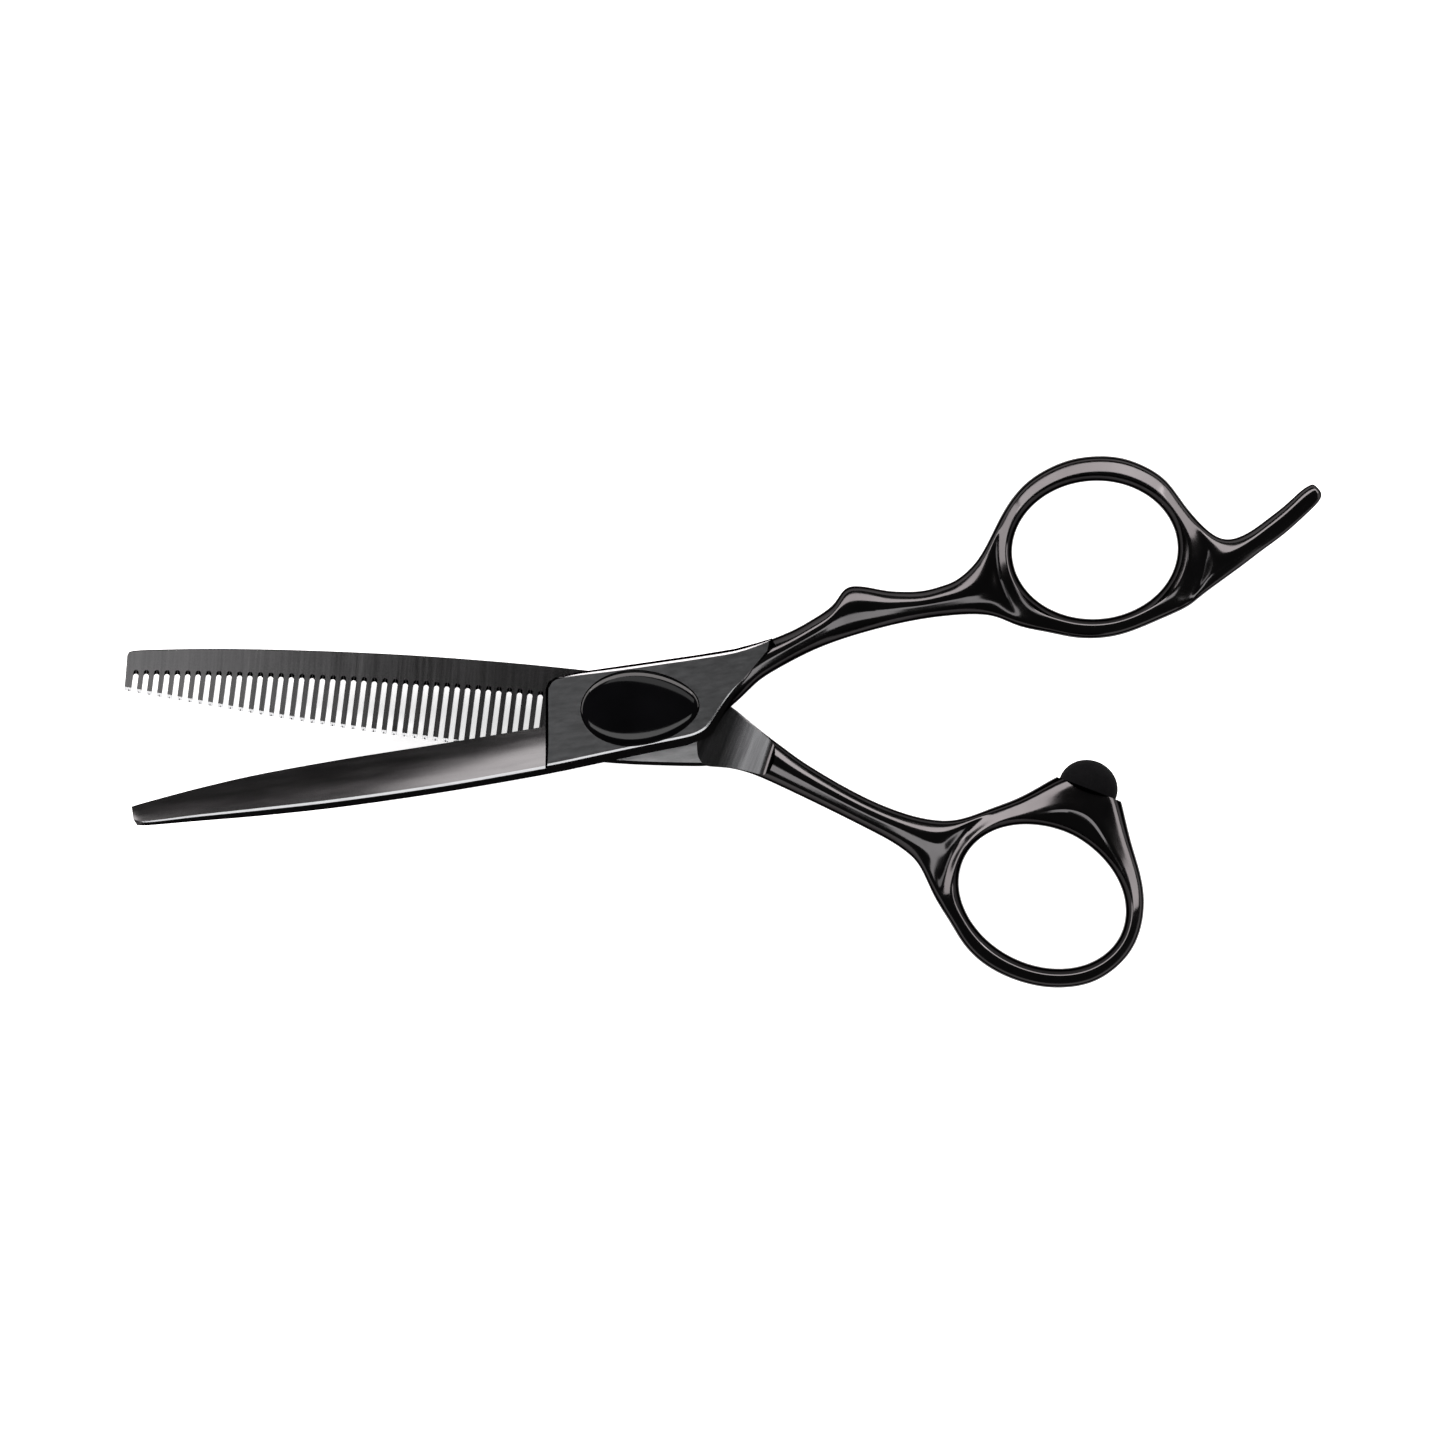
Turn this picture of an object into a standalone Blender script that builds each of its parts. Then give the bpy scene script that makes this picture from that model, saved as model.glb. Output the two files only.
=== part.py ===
"""Thinning shears lying flat.

Units are metres.  +Z runs along the pivot axis towards the side with the oval cap, +X runs from the blades
to the finger rings, and the origin is on the pivot axis at the back face of the pivot screw's head, the
plane that the shears lie on.  Lengths below are in millimetres and are scaled by MM when a mesh is made.
"""

import math

import bmesh
import bpy
import numpy as np
from mathutils import Matrix, Vector

MM = 0.001

# Heights along the pivot axis.
COMB_BACK_Z = 1.1
COMB_RIDE_Z = 4.17
FRONT_RIDE_Z = 4.23
FRONT_FACE_Z = 7.3
MID_Z = 4.2
RING_HALF_THICKNESS = 3.0

# Pivot hardware.
SCREW_HEAD_R = 5.0
SCREW_HEAD_H = 1.0
SCREW_R = 2.25
SCREW_TOP_Z = 6.15
SPANNER_HOLE_R = 0.6
SPANNER_HOLE_X = 3.2
SPANNER_HOLE_DEPTH = 0.7
BEARING_BORE_R = 4.8
BEARING_BORE_TOP_Z = 2.95
RACE_R_IN = 2.4
RACE_R_OUT = 4.7
LOWER_RACE_Z = (1.33, 1.68)
UPPER_RACE_Z = (2.53, 2.88)
WAVE_WASHER_Z = (1.04, 1.29)
BALL_R = 0.4
BALL_Z = 2.105
BALL_PITCH_R = 3.55
BALL_COUNT = 10
CAGE_Z = (1.96, 2.25)
CAGE_POCKET_R = 0.44
WASHER_R_IN = 2.35
WASHER_R_OUT = 4.9
WASHER_Z = (3.93, 4.45)
WASHER_SEAT_R = 5.0
INSERT_R = 3.3
INSERT_BORE_R = 2.3
INSERT_FLANGE_R = 4.1
INSERT_Z = (4.52, 6.35)
INSERT_FLANGE_H = 0.55
RUN_CLEARANCE = 0.05

# Oval cap: an egg with its blunt end at -X.
CAP_CENTRE = (2.1, 0.3)
CAP_HALF_X = 8.1
CAP_HALF_Y = 5.1
CAP_TAPER = 0.13
CAP_POINTEDNESS = 0.06
CAP_TILT = 3.0
CAP_SEGMENTS = 32
CAP_SEAT_Z = 6.4
CAP_TOP_Z = 8.35

# Comb.
SLOT_COUNT = 40
SLOT_WIDTH = 0.73
SLOT_LEAN = 7.2
FIRST_SLOT = (-67.8, 5.7)
LAST_SLOT = (-11.65, 2.8)
SLOT_SAG = 2.7
SLOT_LENGTH = 12.0
COMB_BACK_BEVEL = 0.5
COMB_BEVEL_SHARE = 0.3

# Rings: hole centre, hole half axes, tilt of the long axis in degrees.
FINGER_HOLE = (65.2, 22.2, 11.42, 9.48, 3.9)
THUMB_HOLE = (57.9, -25.9, 12.02, 9.31, -26.7)

# Bumper.
BOSS_LEFT = (59.7, -9.2)
BOSS_RIGHT = (69.1, -12.8)
BUMPER_R = 4.15
BUMPER_STEM_R = 1.5
BUMPER_STEM_LENGTH = 2.6
BUMPER_CENTRE_SHARE = 0.48
BUMPER_GAP = 0.06
BUMPER_RIM = 0.15
BOSS_CUT_HALF = (9.0, 6.0)

# Hollow ramp between each ride face and its shank.
RAMP_LENGTH = 9.6
RAMP_RELIEF = 0.14
RAMP_RISE = 2.6
RAMP_POWER = 3.8
RAMP_STEPS = 8
FRONT_RAMP_START = (15.6, 4.2)
FRONT_RAMP_DIRECTION = 25.0
COMB_RAMP_START = (11.2, -5.5)
COMB_RAMP_DIRECTION = -17.5
RAMP_CUT_BACK = -40.0
RAMP_CUT_HALF_WIDTH = 25.0

# Sizes shared by the cutters: they start and stop clear of the bodies.
CUT_BELOW_Z = -2.0
CUT_ABOVE_Z = 12.0
SEGMENTS = 24
POCKET_SEGMENTS = 12
CAGE_SEGMENTS = 40

BODY_LEVELS = 1

# Outer radius of each ring every 15 degrees from 0, about the centre of its hole.
FINGER_OUTER = [15.8, 14.82, 14.0, 13.95, 13.69, 13.44, 13.19, 13.13, 13.19, 13.44, 13.69, 14.0,
                14.1, 14.2, 14.4, 14.63, 13.31, 12.63, 12.38, 12.38, 12.63, 13.51, 15.13, 15.8]
THUMB_OUTER = [14.25, 14.13, 14.57, 16.4, 19.2, 18.5, 15.7, 14.2, 14.13, 14.2, 14.3, 14.4,
               14.63, 13.44, 12.88, 12.56, 12.31, 12.31, 12.63, 13.19, 13.88, 14.32, 14.57, 14.45]
# The thumb ring is thicker under the bumper: extra half thickness at the same stations.
FINGER_SWELL = [0.0] * 24
THUMB_SWELL = [0.0, 0.0, 0.2, 0.75, 1.0, 1.0, 0.6, 0.2] + [0.0] * 16
RING_STATIONS = 24
RING_STEP = 360.0 / RING_STATIONS

# Shanks: upper x, y, lower x, y, middle height, half thickness; blade end first.
FRONT_SHANK = [
    (7.6, 6.6, 8.6, -4.2, 4.1, 3.0), (12.1, 7.7, 11.8, -3.5, 4.1, 3.0), (15.3, 8.4, 13.7, -0.8, 4.1, 3.0),
    (18.0, 9.1, 16.0, 1.5, 4.1, 3.0), (20.8, 10.1, 18.3, 3.7, 4.15, 3.05), (23.6, 11.3, 20.8, 5.4, 4.2, 3.1),
    (26.4, 12.9, 23.9, 7.1, 4.2, 3.1), (29.1, 15.0, 27.1, 8.6, 4.2, 3.1), (31.2, 17.2, 31.0, 10.0, 4.2, 3.1),
    (35.4, 16.8, 35.1, 11.2, 4.2, 2.9), (38.2, 16.5, 38.4, 12.0, 4.2, 2.8), (41.2, 16.6, 41.6, 12.6, 4.2, 2.8),
    (44.0, 17.3, 44.8, 13.0, 4.2, 2.8), (46.2, 18.3, 48.2, 13.2, 4.2, 2.9), (49.0, 21.1, 51.5, 12.8, 4.2, 3.0)]
COMB_SHANK = [
    (10.4, 2.5, 9.4, -7.7, 3.6, 2.5), (13.9, 1.1, 12.1, -8.0, 3.6, 2.5), (16.7, -1.0, 14.6, -8.2, 3.6, 2.5),
    (19.4, -3.2, 17.4, -8.9, 3.65, 2.55), (22.2, -5.3, 20.1, -10.0, 3.7, 2.6), (25.0, -7.3, 22.9, -11.3, 3.8, 2.6),
    (29.8, -10.2, 27.9, -13.7, 3.9, 2.6), (34.7, -12.7, 32.9, -16.2, 4.0, 2.7), (38.9, -14.3, 36.5, -18.1, 4.1, 2.8),
    (42.3, -15.1, 38.9, -19.7, 4.2, 2.9), (46.2, -15.1, 40.9, -21.9, 4.2, 3.0)]
TANG = [
    (82.9, 23.9, 80.5, 16.1, 4.2, 2.8), (86.1, 24.5, 85.1, 19.5, 4.2, 2.5), (88.8, 26.3, 88.4, 22.0, 4.2, 2.3),
    (91.6, 28.5, 91.6, 24.4, 4.2, 2.1), (93.7, 30.4, 94.4, 26.9, 4.2, 1.9), (94.9, 31.2, 96.2, 28.7, 4.2, 1.7),
    (95.6, 31.5, 97.0, 30.1, 4.2, 1.3)]

# Solid blade: cutting edge x, y, ridge x, y, spine x, y, ridge height above the ride face; tip first.
BLADE_LAND = 0.12
BLADE_HOLLOW_SHARE = 0.55
BLADE_HOLLOW_RISE = 0.42
BLADE_SPINE_RISE = 0.45
SOLID_BLADE = [
    (-68.5, -13.4, -68.2, -15.2, -67.7, -16.0, 0.8), (-66.5, -12.8, -66.3, -15.4, -66.0, -16.0, 0.9),
    (-59.0, -10.8, -59.0, -14.5, -59.0, -15.4, 1.15), (-50.7, -8.9, -50.7, -13.6, -50.7, -14.7, 1.4),
    (-39.6, -6.9, -39.6, -12.3, -39.6, -13.5, 1.7), (-25.7, -4.7, -25.7, -10.3, -25.7, -11.5, 2.1),
    (-12.4, -2.5, -12.0, -7.9, -11.8, -9.1, 2.45), (-7.0, -1.6, -6.5, -6.9, -6.3, -8.1, 2.55)]

# Front ricasso block: upper edge left to right, then the end against the shank, then the lower edge.
FRONT_BLOCK = [
    (-11.0, -8.9), (-11.0, 2.8), (-10.6, 3.9), (-9.6, 4.5), (-6.2, 5.3), (-0.7, 6.1), (4.9, 6.9), (10.4, 7.7),
    (15.3, 8.5), (19.0, 9.5), (21.6, 10.5), (21.0, 8.9), (17.9, 5.6), (15.6, 2.8), (13.0, -1.6), (12.3, -3.2),
    (11.2, -3.95), (8.6, -4.9), (3.1, -6.0), (-3.1, -7.3), (-8.7, -8.5)]

# Comb plate: spine left to right, then the tooth-tip line and ricasso right to left.
COMB_SPINE = [(-69.1, 7.6), (-68.4, 8.2), (-64.5, 8.4), (-56.2, 8.5), (-45.1, 8.3), (-31.2, 7.7), (-17.4, 6.7),
              (-6.2, 5.6), (-0.7, 4.9), (4.9, 4.0), (10.4, 2.7), (13.9, 1.1)]
COMB_TIPS = [(-69.5, 2.7), (-69.3, 2.7), (-66.1, 2.1), (-57.6, 0.6), (-45.0, -1.55), (-31.9, -3.5), (-17.4, -5.4),
             (-6.2, -6.9), (-0.7, -7.45), (4.9, -7.7), (10.4, -7.9), (12.1, -8.0)]
COMB_BACK = [2.6, 2.55, 2.45, 2.3, 2.1, 1.8, 1.4, 1.1, 1.1, 1.1, 1.1, 1.1]
TOOTH_BACK = [3.3, 3.3, 3.25, 3.2, 3.1, 2.9, 2.4, 1.6, 1.1, 1.1, 1.1, 1.1]


def clear_scene():
    for obj in list(bpy.data.objects):
        bpy.data.objects.remove(obj, do_unlink=True)
    for mesh in list(bpy.data.meshes):
        bpy.data.meshes.remove(mesh)


def make_collection(name):
    collection = bpy.data.collections.new(name)
    bpy.context.scene.collection.children.link(collection)
    return collection


def material(name, colour, roughness, metallic):
    mat = bpy.data.materials.new(name)
    mat.use_nodes = True
    shader = mat.node_tree.nodes["Principled BSDF"]
    shader.inputs["Base Color"].default_value = (*colour, 1.0)
    shader.inputs["Roughness"].default_value = roughness
    shader.inputs["Metallic"].default_value = metallic
    mat.diffuse_color = (*colour, 1.0)
    return mat


def mesh_object(name, collection, verts, faces):
    mesh = bpy.data.meshes.new(name)
    mesh.from_pydata([Vector(v) * MM for v in verts], [], faces)
    bm = bmesh.new()
    bm.from_mesh(mesh)
    bmesh.ops.recalc_face_normals(bm, faces=bm.faces)
    bm.to_mesh(mesh)
    bm.free()
    obj = bpy.data.objects.new(name, mesh)
    collection.objects.link(obj)
    return obj


def apply_modifiers(obj):
    depsgraph = bpy.context.evaluated_depsgraph_get()
    evaluated = obj.evaluated_get(depsgraph)
    mesh = bpy.data.meshes.new_from_object(evaluated, depsgraph=depsgraph)
    obj.modifiers.clear()
    obj.data = mesh
    mesh.name = obj.name


def boolean(obj, cutter, operation):
    cutter.hide_render = True
    cutter.display_type = "WIRE"
    modifier = obj.modifiers.new(cutter.name, "BOOLEAN")
    modifier.operation = operation
    modifier.solver = "EXACT"
    modifier.object = cutter
    apply_modifiers(obj)


def finish(obj, mat, angle=35.0):
    obj.data.materials.clear()
    obj.data.materials.append(mat)
    for polygon in obj.data.polygons:
        polygon.use_smooth = True
    obj.data.set_sharp_from_angle(angle=math.radians(angle))


def prism(name, collection, outline, z_low, z_high):
    count = len(outline)
    verts = [(x, y, z_low) for x, y in outline] + [(x, y, z_high) for x, y in outline]
    faces = [tuple(range(count))[::-1], tuple(range(count, 2 * count))]
    for i in range(count):
        j = (i + 1) % count
        faces.append((i, j, count + j, count + i))
    return mesh_object(name, collection, verts, faces)


def turned(name, collection, profile, segments):
    """Solid of revolution about Z.  The profile is (radius, z) pairs in order round the section."""
    verts = []
    for step in range(segments):
        angle = math.tau * step / segments
        for radius, z in profile:
            verts.append((radius * math.cos(angle), radius * math.sin(angle), z))
    faces = []
    count = len(profile)
    for step in range(segments):
        following = (step + 1) % segments
        for i in range(count):
            j = (i + 1) % count
            faces.append((step * count + i, step * count + j, following * count + j, following * count + i))
    obj = mesh_object(name, collection, verts, faces)
    bm = bmesh.new()
    bm.from_mesh(obj.data)
    bmesh.ops.remove_doubles(bm, verts=bm.verts, dist=1e-7)
    bmesh.ops.dissolve_degenerate(bm, edges=bm.edges, dist=1e-8)
    bmesh.ops.recalc_face_normals(bm, faces=bm.faces)
    bm.to_mesh(obj.data)
    bm.free()
    return obj


def ring_body(name, collection, r_in, r_out, z_low, z_high, segments):
    return turned(name, collection, [(r_in, z_low), (r_out, z_low), (r_out, z_high), (r_in, z_high)], segments)


def disc_body(name, collection, radius, z_low, z_high, segments):
    outline = [(radius * math.cos(math.tau * i / segments), radius * math.sin(math.tau * i / segments))
               for i in range(segments)]
    return prism(name, collection, outline, z_low, z_high)


def spline_controls(points, closed):
    """Control points whose cubic B-spline passes through the given points."""
    values = np.array(points, dtype=float)
    count = len(values)
    matrix = np.zeros((count, count))
    for i in range(count):
        if closed:
            matrix[i, i] = 4.0 / 6.0
            matrix[i, (i - 1) % count] += 1.0 / 6.0
            matrix[i, (i + 1) % count] += 1.0 / 6.0
        elif i in (0, count - 1):
            matrix[i, i] = 1.0
        else:
            matrix[i, i] = 4.0 / 6.0
            matrix[i, i - 1] = 1.0 / 6.0
            matrix[i, i + 1] = 1.0 / 6.0
    return np.linalg.solve(matrix, values)


def hole_point(hole, angle):
    """Point of the hole's ellipse in the direction angle (degrees) from its centre."""
    cx, cy, long_axis, short_axis, tilt = hole
    local = math.radians(angle - tilt)
    radius = long_axis * short_axis / math.hypot(short_axis * math.cos(local), long_axis * math.sin(local))
    return cx + radius * math.cos(math.radians(angle)), cy + radius * math.sin(math.radians(angle))


def outer_point(hole, radius, angle):
    return hole[0] + radius * math.cos(math.radians(angle)), hole[1] + radius * math.sin(math.radians(angle))


# Section of a ring from the outer side to the hole: share of the width, share of the half thickness.
RING_ROWS = [(0.0, 0.0), (0.06, 0.72), (0.5, 1.05), (0.94, 0.72), (1.0, 0.0), (0.94, -0.72), (0.5, -1.05),
             (0.06, -0.72)]
FRONT_ROWS = {4: [(0.06, 0.72), (0.34, 1.0), (0.66, 1.0), (0.94, 0.72)],
              5: [(0.05, 0.72), (0.26, 1.0), (0.5, 1.04), (0.74, 1.0), (0.95, 0.72)]}


def strip_section(station, rows):
    ux, uy, lx, ly, mid, half = station
    section = [(ux, uy, mid)]
    for share, rise in rows:
        section.append((ux + (lx - ux) * share, uy + (ly - uy) * share, mid + half * rise))
    section.append((lx, ly, mid))
    for share, rise in reversed(rows):
        section.append((ux + (lx - ux) * share, uy + (ly - uy) * share, mid - half * rise))
    return section


def interpolated(stations, first, last):
    """Stations whose smooth limit passes through the given ones, between fixed neighbours."""
    chain = [first] * bool(first) + list(stations) + [last] * bool(last)
    controls = spline_controls(chain, False)
    start = 1 if first else 0
    stop = len(chain) - 1 if last else len(chain)
    return [tuple(row) for row in controls[start:stop]]


def handle_cage(name, collection, hole, outer, swell, shank, shank_start, tang=None, tang_start=None):
    """Cage of a ring with its shank and, if given, a tang, before subdivision."""
    verts = []
    faces = []
    outer_xy = [outer_point(hole, outer[i], i * RING_STEP) for i in range(RING_STATIONS)]
    inner_xy = [hole_point(hole, i * RING_STEP) for i in range(RING_STATIONS)]
    outer_controls = spline_controls(outer_xy, True)
    inner_controls = spline_controls(inner_xy, True)
    row_count = len(RING_ROWS)
    index = {}
    wedges = [(shank_start, 5)]
    if tang:
        wedges.append((tang_start, 4))
    joined = set()
    for start, span in wedges:
        for offset in range(1, span - 1):
            joined.add((start + offset) % RING_STATIONS)
    for i in range(RING_STATIONS):
        ox, oy = outer_controls[i]
        nx, ny = inner_controls[i]
        for row, (share, rise) in enumerate(RING_ROWS):
            if row == 0 and i in joined:
                continue
            index[i, row] = len(verts)
            half = RING_HALF_THICKNESS + swell[i]
            verts.append((ox + (nx - ox) * share, oy + (ny - oy) * share, MID_Z + half * rise))
    for i in range(RING_STATIONS):
        j = (i + 1) % RING_STATIONS
        inside = any((i - start) % RING_STATIONS < span - 1 for start, span in wedges)
        for row in range(row_count):
            following = (row + 1) % row_count
            if inside and (row == 0 or following == 0):
                continue
            faces.append((index[i, row], index[j, row], index[j, following], index[i, following]))

    def attach(stations, start, span, reverse):
        ids = [(start + k) % RING_STATIONS for k in range(span)]
        if reverse:
            ids.reverse()
        loop = [index[ids[0], 0]] + [index[i, 1] for i in ids] + [index[ids[-1], 0]]
        loop += [index[i, row_count - 1] for i in reversed(ids)]
        upper = verts[loop[0]]
        lower = verts[loop[span + 1]]
        joint = (upper[0], upper[1], lower[0], lower[1], MID_Z, RING_HALF_THICKNESS)
        controls = interpolated(stations, None, joint)
        previous = None
        for station in controls:
            section = strip_section(station, FRONT_ROWS[span])
            current = list(range(len(verts), len(verts) + len(section)))
            verts.extend(section)
            if previous:
                bridge(previous, current)
            else:
                faces.append(tuple(current))
            previous = current
        bridge(previous, loop)

    def bridge(first, second):
        size = len(first)
        for k in range(size):
            faces.append((first[k], first[(k + 1) % size], second[(k + 1) % size], second[k]))

    attach(shank, shank_start, 5, False)
    if tang:
        attach(list(reversed(tang)), tang_start, 4, True)
    obj = mesh_object(name, collection, verts, faces)
    subdivision = obj.modifiers.new("smooth", "SUBSURF")
    subdivision.levels = BODY_LEVELS
    subdivision.render_levels = BODY_LEVELS
    apply_modifiers(obj)
    return obj


def lofted(name, collection, sections):
    verts = []
    faces = []
    size = len(sections[0])
    for section in sections:
        verts.extend(section)
    faces.append(tuple(range(size)))
    for k in range(len(sections) - 1):
        for i in range(size):
            j = (i + 1) % size
            faces.append((k * size + i, k * size + j, (k + 1) * size + j, (k + 1) * size + i))
    faces.append(tuple(range((len(sections) - 1) * size, len(sections) * size))[::-1])
    return mesh_object(name, collection, verts, faces)


def cap_outline(grow):
    """Egg outline: an ellipse whose height shrinks towards +X."""
    points = []
    for i in range(CAP_SEGMENTS):
        angle = math.tau * i / CAP_SEGMENTS
        x = (CAP_HALF_X + grow) * math.cos(angle)
        taper = 1.0 - CAP_TAPER * math.cos(angle) - CAP_POINTEDNESS * math.cos(angle) ** 2
        y = (CAP_HALF_Y * taper + grow) * math.sin(angle)
        turn = math.radians(CAP_TILT)
        points.append((CAP_CENTRE[0] + x * math.cos(turn) - y * math.sin(turn),
                       CAP_CENTRE[1] + x * math.sin(turn) + y * math.cos(turn)))
    return points


def solid_blade(collection):
    sections = []
    for ex, ey, rx, ry, sx, sy, rise in SOLID_BLADE:
        low = FRONT_RIDE_Z
        mx = ex + (rx - ex) * BLADE_HOLLOW_SHARE
        my = ey + (ry - ey) * BLADE_HOLLOW_SHARE
        land = low + BLADE_LAND
        sections.append([(ex, ey, low), (ex, ey, land), (mx, my, land + rise * BLADE_HOLLOW_RISE),
                         (rx, ry, low + rise), (sx, sy, low + rise * BLADE_SPINE_RISE), (sx, sy, low)])
    return lofted("solid_blade", collection, sections)


def ramp_cutter(name, collection, start, direction, low_z, side, far_z):
    """Cutter that leaves a flat ride face up to start, then a hollow ramp along direction."""
    profile = [(RAMP_CUT_BACK, far_z), (RAMP_CUT_BACK, low_z), (0.0, low_z)]
    for i in range(RAMP_STEPS + 1):
        share = i / RAMP_STEPS
        profile.append((share * RAMP_LENGTH, low_z - side * RAMP_RELIEF + side * RAMP_RISE * share ** RAMP_POWER))
    profile.append((RAMP_LENGTH, far_z))
    angle = math.radians(direction)
    along = Vector((math.cos(angle), math.sin(angle), 0.0))
    across = Vector((-along.y, along.x, 0.0))
    origin = Vector((start[0], start[1], 0.0))
    verts = []
    for offset in (-RAMP_CUT_HALF_WIDTH, RAMP_CUT_HALF_WIDTH):
        for s, z in profile:
            point = origin + along * s + across * offset
            verts.append((point.x, point.y, z))
    count = len(profile)
    faces = [tuple(range(count)), tuple(range(count, 2 * count))[::-1]]
    for i in range(count):
        j = (i + 1) % count
        faces.append((i, j, count + j, count + i))
    return mesh_object(name, collection, verts, faces)


def build_front_half(collection, cutters, mat):
    body = handle_cage("front_half", collection, FINGER_HOLE, FINGER_OUTER, FINGER_SWELL, FRONT_SHANK, 11,
                       TANG, 22)
    block = prism("front_block", cutters, FRONT_BLOCK, FRONT_RIDE_Z, FRONT_FACE_Z)
    boolean(body, block, "UNION")
    boolean(body, solid_blade(cutters), "UNION")
    under = ramp_cutter("front_ramp_cut", cutters, FRONT_RAMP_START, FRONT_RAMP_DIRECTION, FRONT_RIDE_Z, -1.0,
                        CUT_BELOW_Z)
    boolean(body, under, "DIFFERENCE")
    recess = prism("cap_recess", cutters, cap_outline(RUN_CLEARANCE), CAP_SEAT_Z, CUT_ABOVE_Z)
    boolean(body, recess, "DIFFERENCE")
    bore = disc_body("insert_bore", cutters, INSERT_R + RUN_CLEARANCE, CUT_BELOW_Z, CUT_ABOVE_Z, SEGMENTS)
    boolean(body, bore, "DIFFERENCE")
    flange = disc_body("flange_bore", cutters, INSERT_FLANGE_R + RUN_CLEARANCE,
                       INSERT_Z[1] - INSERT_FLANGE_H - RUN_CLEARANCE, CUT_ABOVE_Z, SEGMENTS)
    boolean(body, flange, "DIFFERENCE")
    seat = disc_body("washer_seat_front", cutters, WASHER_SEAT_R, CUT_BELOW_Z, WASHER_Z[1] + RUN_CLEARANCE,
                     SEGMENTS)
    boolean(body, seat, "DIFFERENCE")
    finish(body, mat)
    return body


def slot_cutter(cutters):
    verts = []
    faces = []
    lean = math.radians(SLOT_LEAN)
    down = Vector((-math.sin(lean), -math.cos(lean), 0.0))
    side = Vector((math.cos(lean), -math.sin(lean), 0.0))
    radius = SLOT_WIDTH / 2.0
    for n in range(SLOT_COUNT):
        share = n / (SLOT_COUNT - 1)
        top = Vector((FIRST_SLOT[0] + (LAST_SLOT[0] - FIRST_SLOT[0]) * share,
                      FIRST_SLOT[1] + (LAST_SLOT[1] - FIRST_SLOT[1]) * share + SLOT_SAG * share * (1.0 - share),
                      0.0))
        outline = []
        for i in range(5):
            angle = math.pi * i / 4.0
            outline.append(top + down * (radius - radius * math.sin(angle)) + side * (radius * math.cos(angle)))
        outline.append(top + down * SLOT_LENGTH - side * radius)
        outline.append(top + down * SLOT_LENGTH + side * radius)
        base = len(verts)
        count = len(outline)
        for z in (CUT_BELOW_Z, CUT_ABOVE_Z):
            verts.extend([(p.x, p.y, z) for p in outline])
        faces.append(tuple(range(base, base + count)))
        faces.append(tuple(range(base + count, base + 2 * count))[::-1])
        for i in range(count):
            j = (i + 1) % count
            faces.append((base + i, base + j, base + count + j, base + count + i))
    return mesh_object("slots", cutters, verts, faces)


def comb_plate(cutters):
    sections = []
    for (sx, sy), (tx, ty), back, tooth in zip(COMB_SPINE, COMB_TIPS, COMB_BACK, TOOTH_BACK):
        mx = sx + (tx - sx) * COMB_BEVEL_SHARE
        my = sy + (ty - sy) * COMB_BEVEL_SHARE
        sections.append([(sx, sy, COMB_RIDE_Z), (sx, sy, back + COMB_BACK_BEVEL), (mx, my, back), (tx, ty, tooth),
                         (tx, ty, COMB_RIDE_Z)])
    return lofted("comb_plate", cutters, sections)


def boss_frame():
    """Middle of the boss flat, unit vector along it and its outward normal."""
    left = Vector((*BOSS_LEFT, MID_Z))
    right = Vector((*BOSS_RIGHT, MID_Z))
    along = (right - left).normalized()
    normal = Vector((-along.y, along.x, 0.0))
    return left + (right - left) * BUMPER_CENTRE_SHARE, along, normal


def boss_matrix():
    centre, along, normal = boss_frame()
    rotation = Matrix((along, Vector((0.0, 0.0, -1.0)), normal)).transposed().to_4x4()
    return Matrix.Translation(centre * MM) @ rotation


def build_comb_half(collection, cutters, mat):
    body = handle_cage("comb_half", collection, THUMB_HOLE, THUMB_OUTER, THUMB_SWELL, COMB_SHANK, 8)
    ramp = ramp_cutter("comb_ramp_cut", cutters, COMB_RAMP_START, COMB_RAMP_DIRECTION, COMB_RIDE_Z, 1.0,
                       CUT_ABOVE_Z)
    boolean(body, ramp, "DIFFERENCE")
    boolean(body, comb_plate(cutters), "UNION")
    boolean(body, slot_cutter(cutters), "DIFFERENCE")
    bore = disc_body("screw_bore", cutters, SCREW_R + RUN_CLEARANCE, CUT_BELOW_Z, CUT_ABOVE_Z, SEGMENTS)
    boolean(body, bore, "DIFFERENCE")
    housing = disc_body("bearing_bore", cutters, BEARING_BORE_R, CUT_BELOW_Z, BEARING_BORE_TOP_Z, SEGMENTS)
    boolean(body, housing, "DIFFERENCE")
    seat = disc_body("washer_seat_comb", cutters, WASHER_SEAT_R, WASHER_Z[0] - RUN_CLEARANCE, CUT_ABOVE_Z,
                     SEGMENTS)
    boolean(body, seat, "DIFFERENCE")
    wide, high = BOSS_CUT_HALF
    flat = prism("boss_flat_cut", cutters, [(-wide, -high), (wide, -high), (wide, high), (-wide, high)], 0.0, high)
    flat.matrix_world = boss_matrix()
    bpy.context.view_layer.update()
    boolean(body, flat, "DIFFERENCE")
    hole = disc_body("bumper_hole", cutters, BUMPER_STEM_R + RUN_CLEARANCE, -BUMPER_STEM_LENGTH - 0.2, 1.0,
                     SEGMENTS)
    hole.matrix_world = boss_matrix()
    bpy.context.view_layer.update()
    boolean(body, hole, "DIFFERENCE")
    finish(body, mat)
    return body


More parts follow.
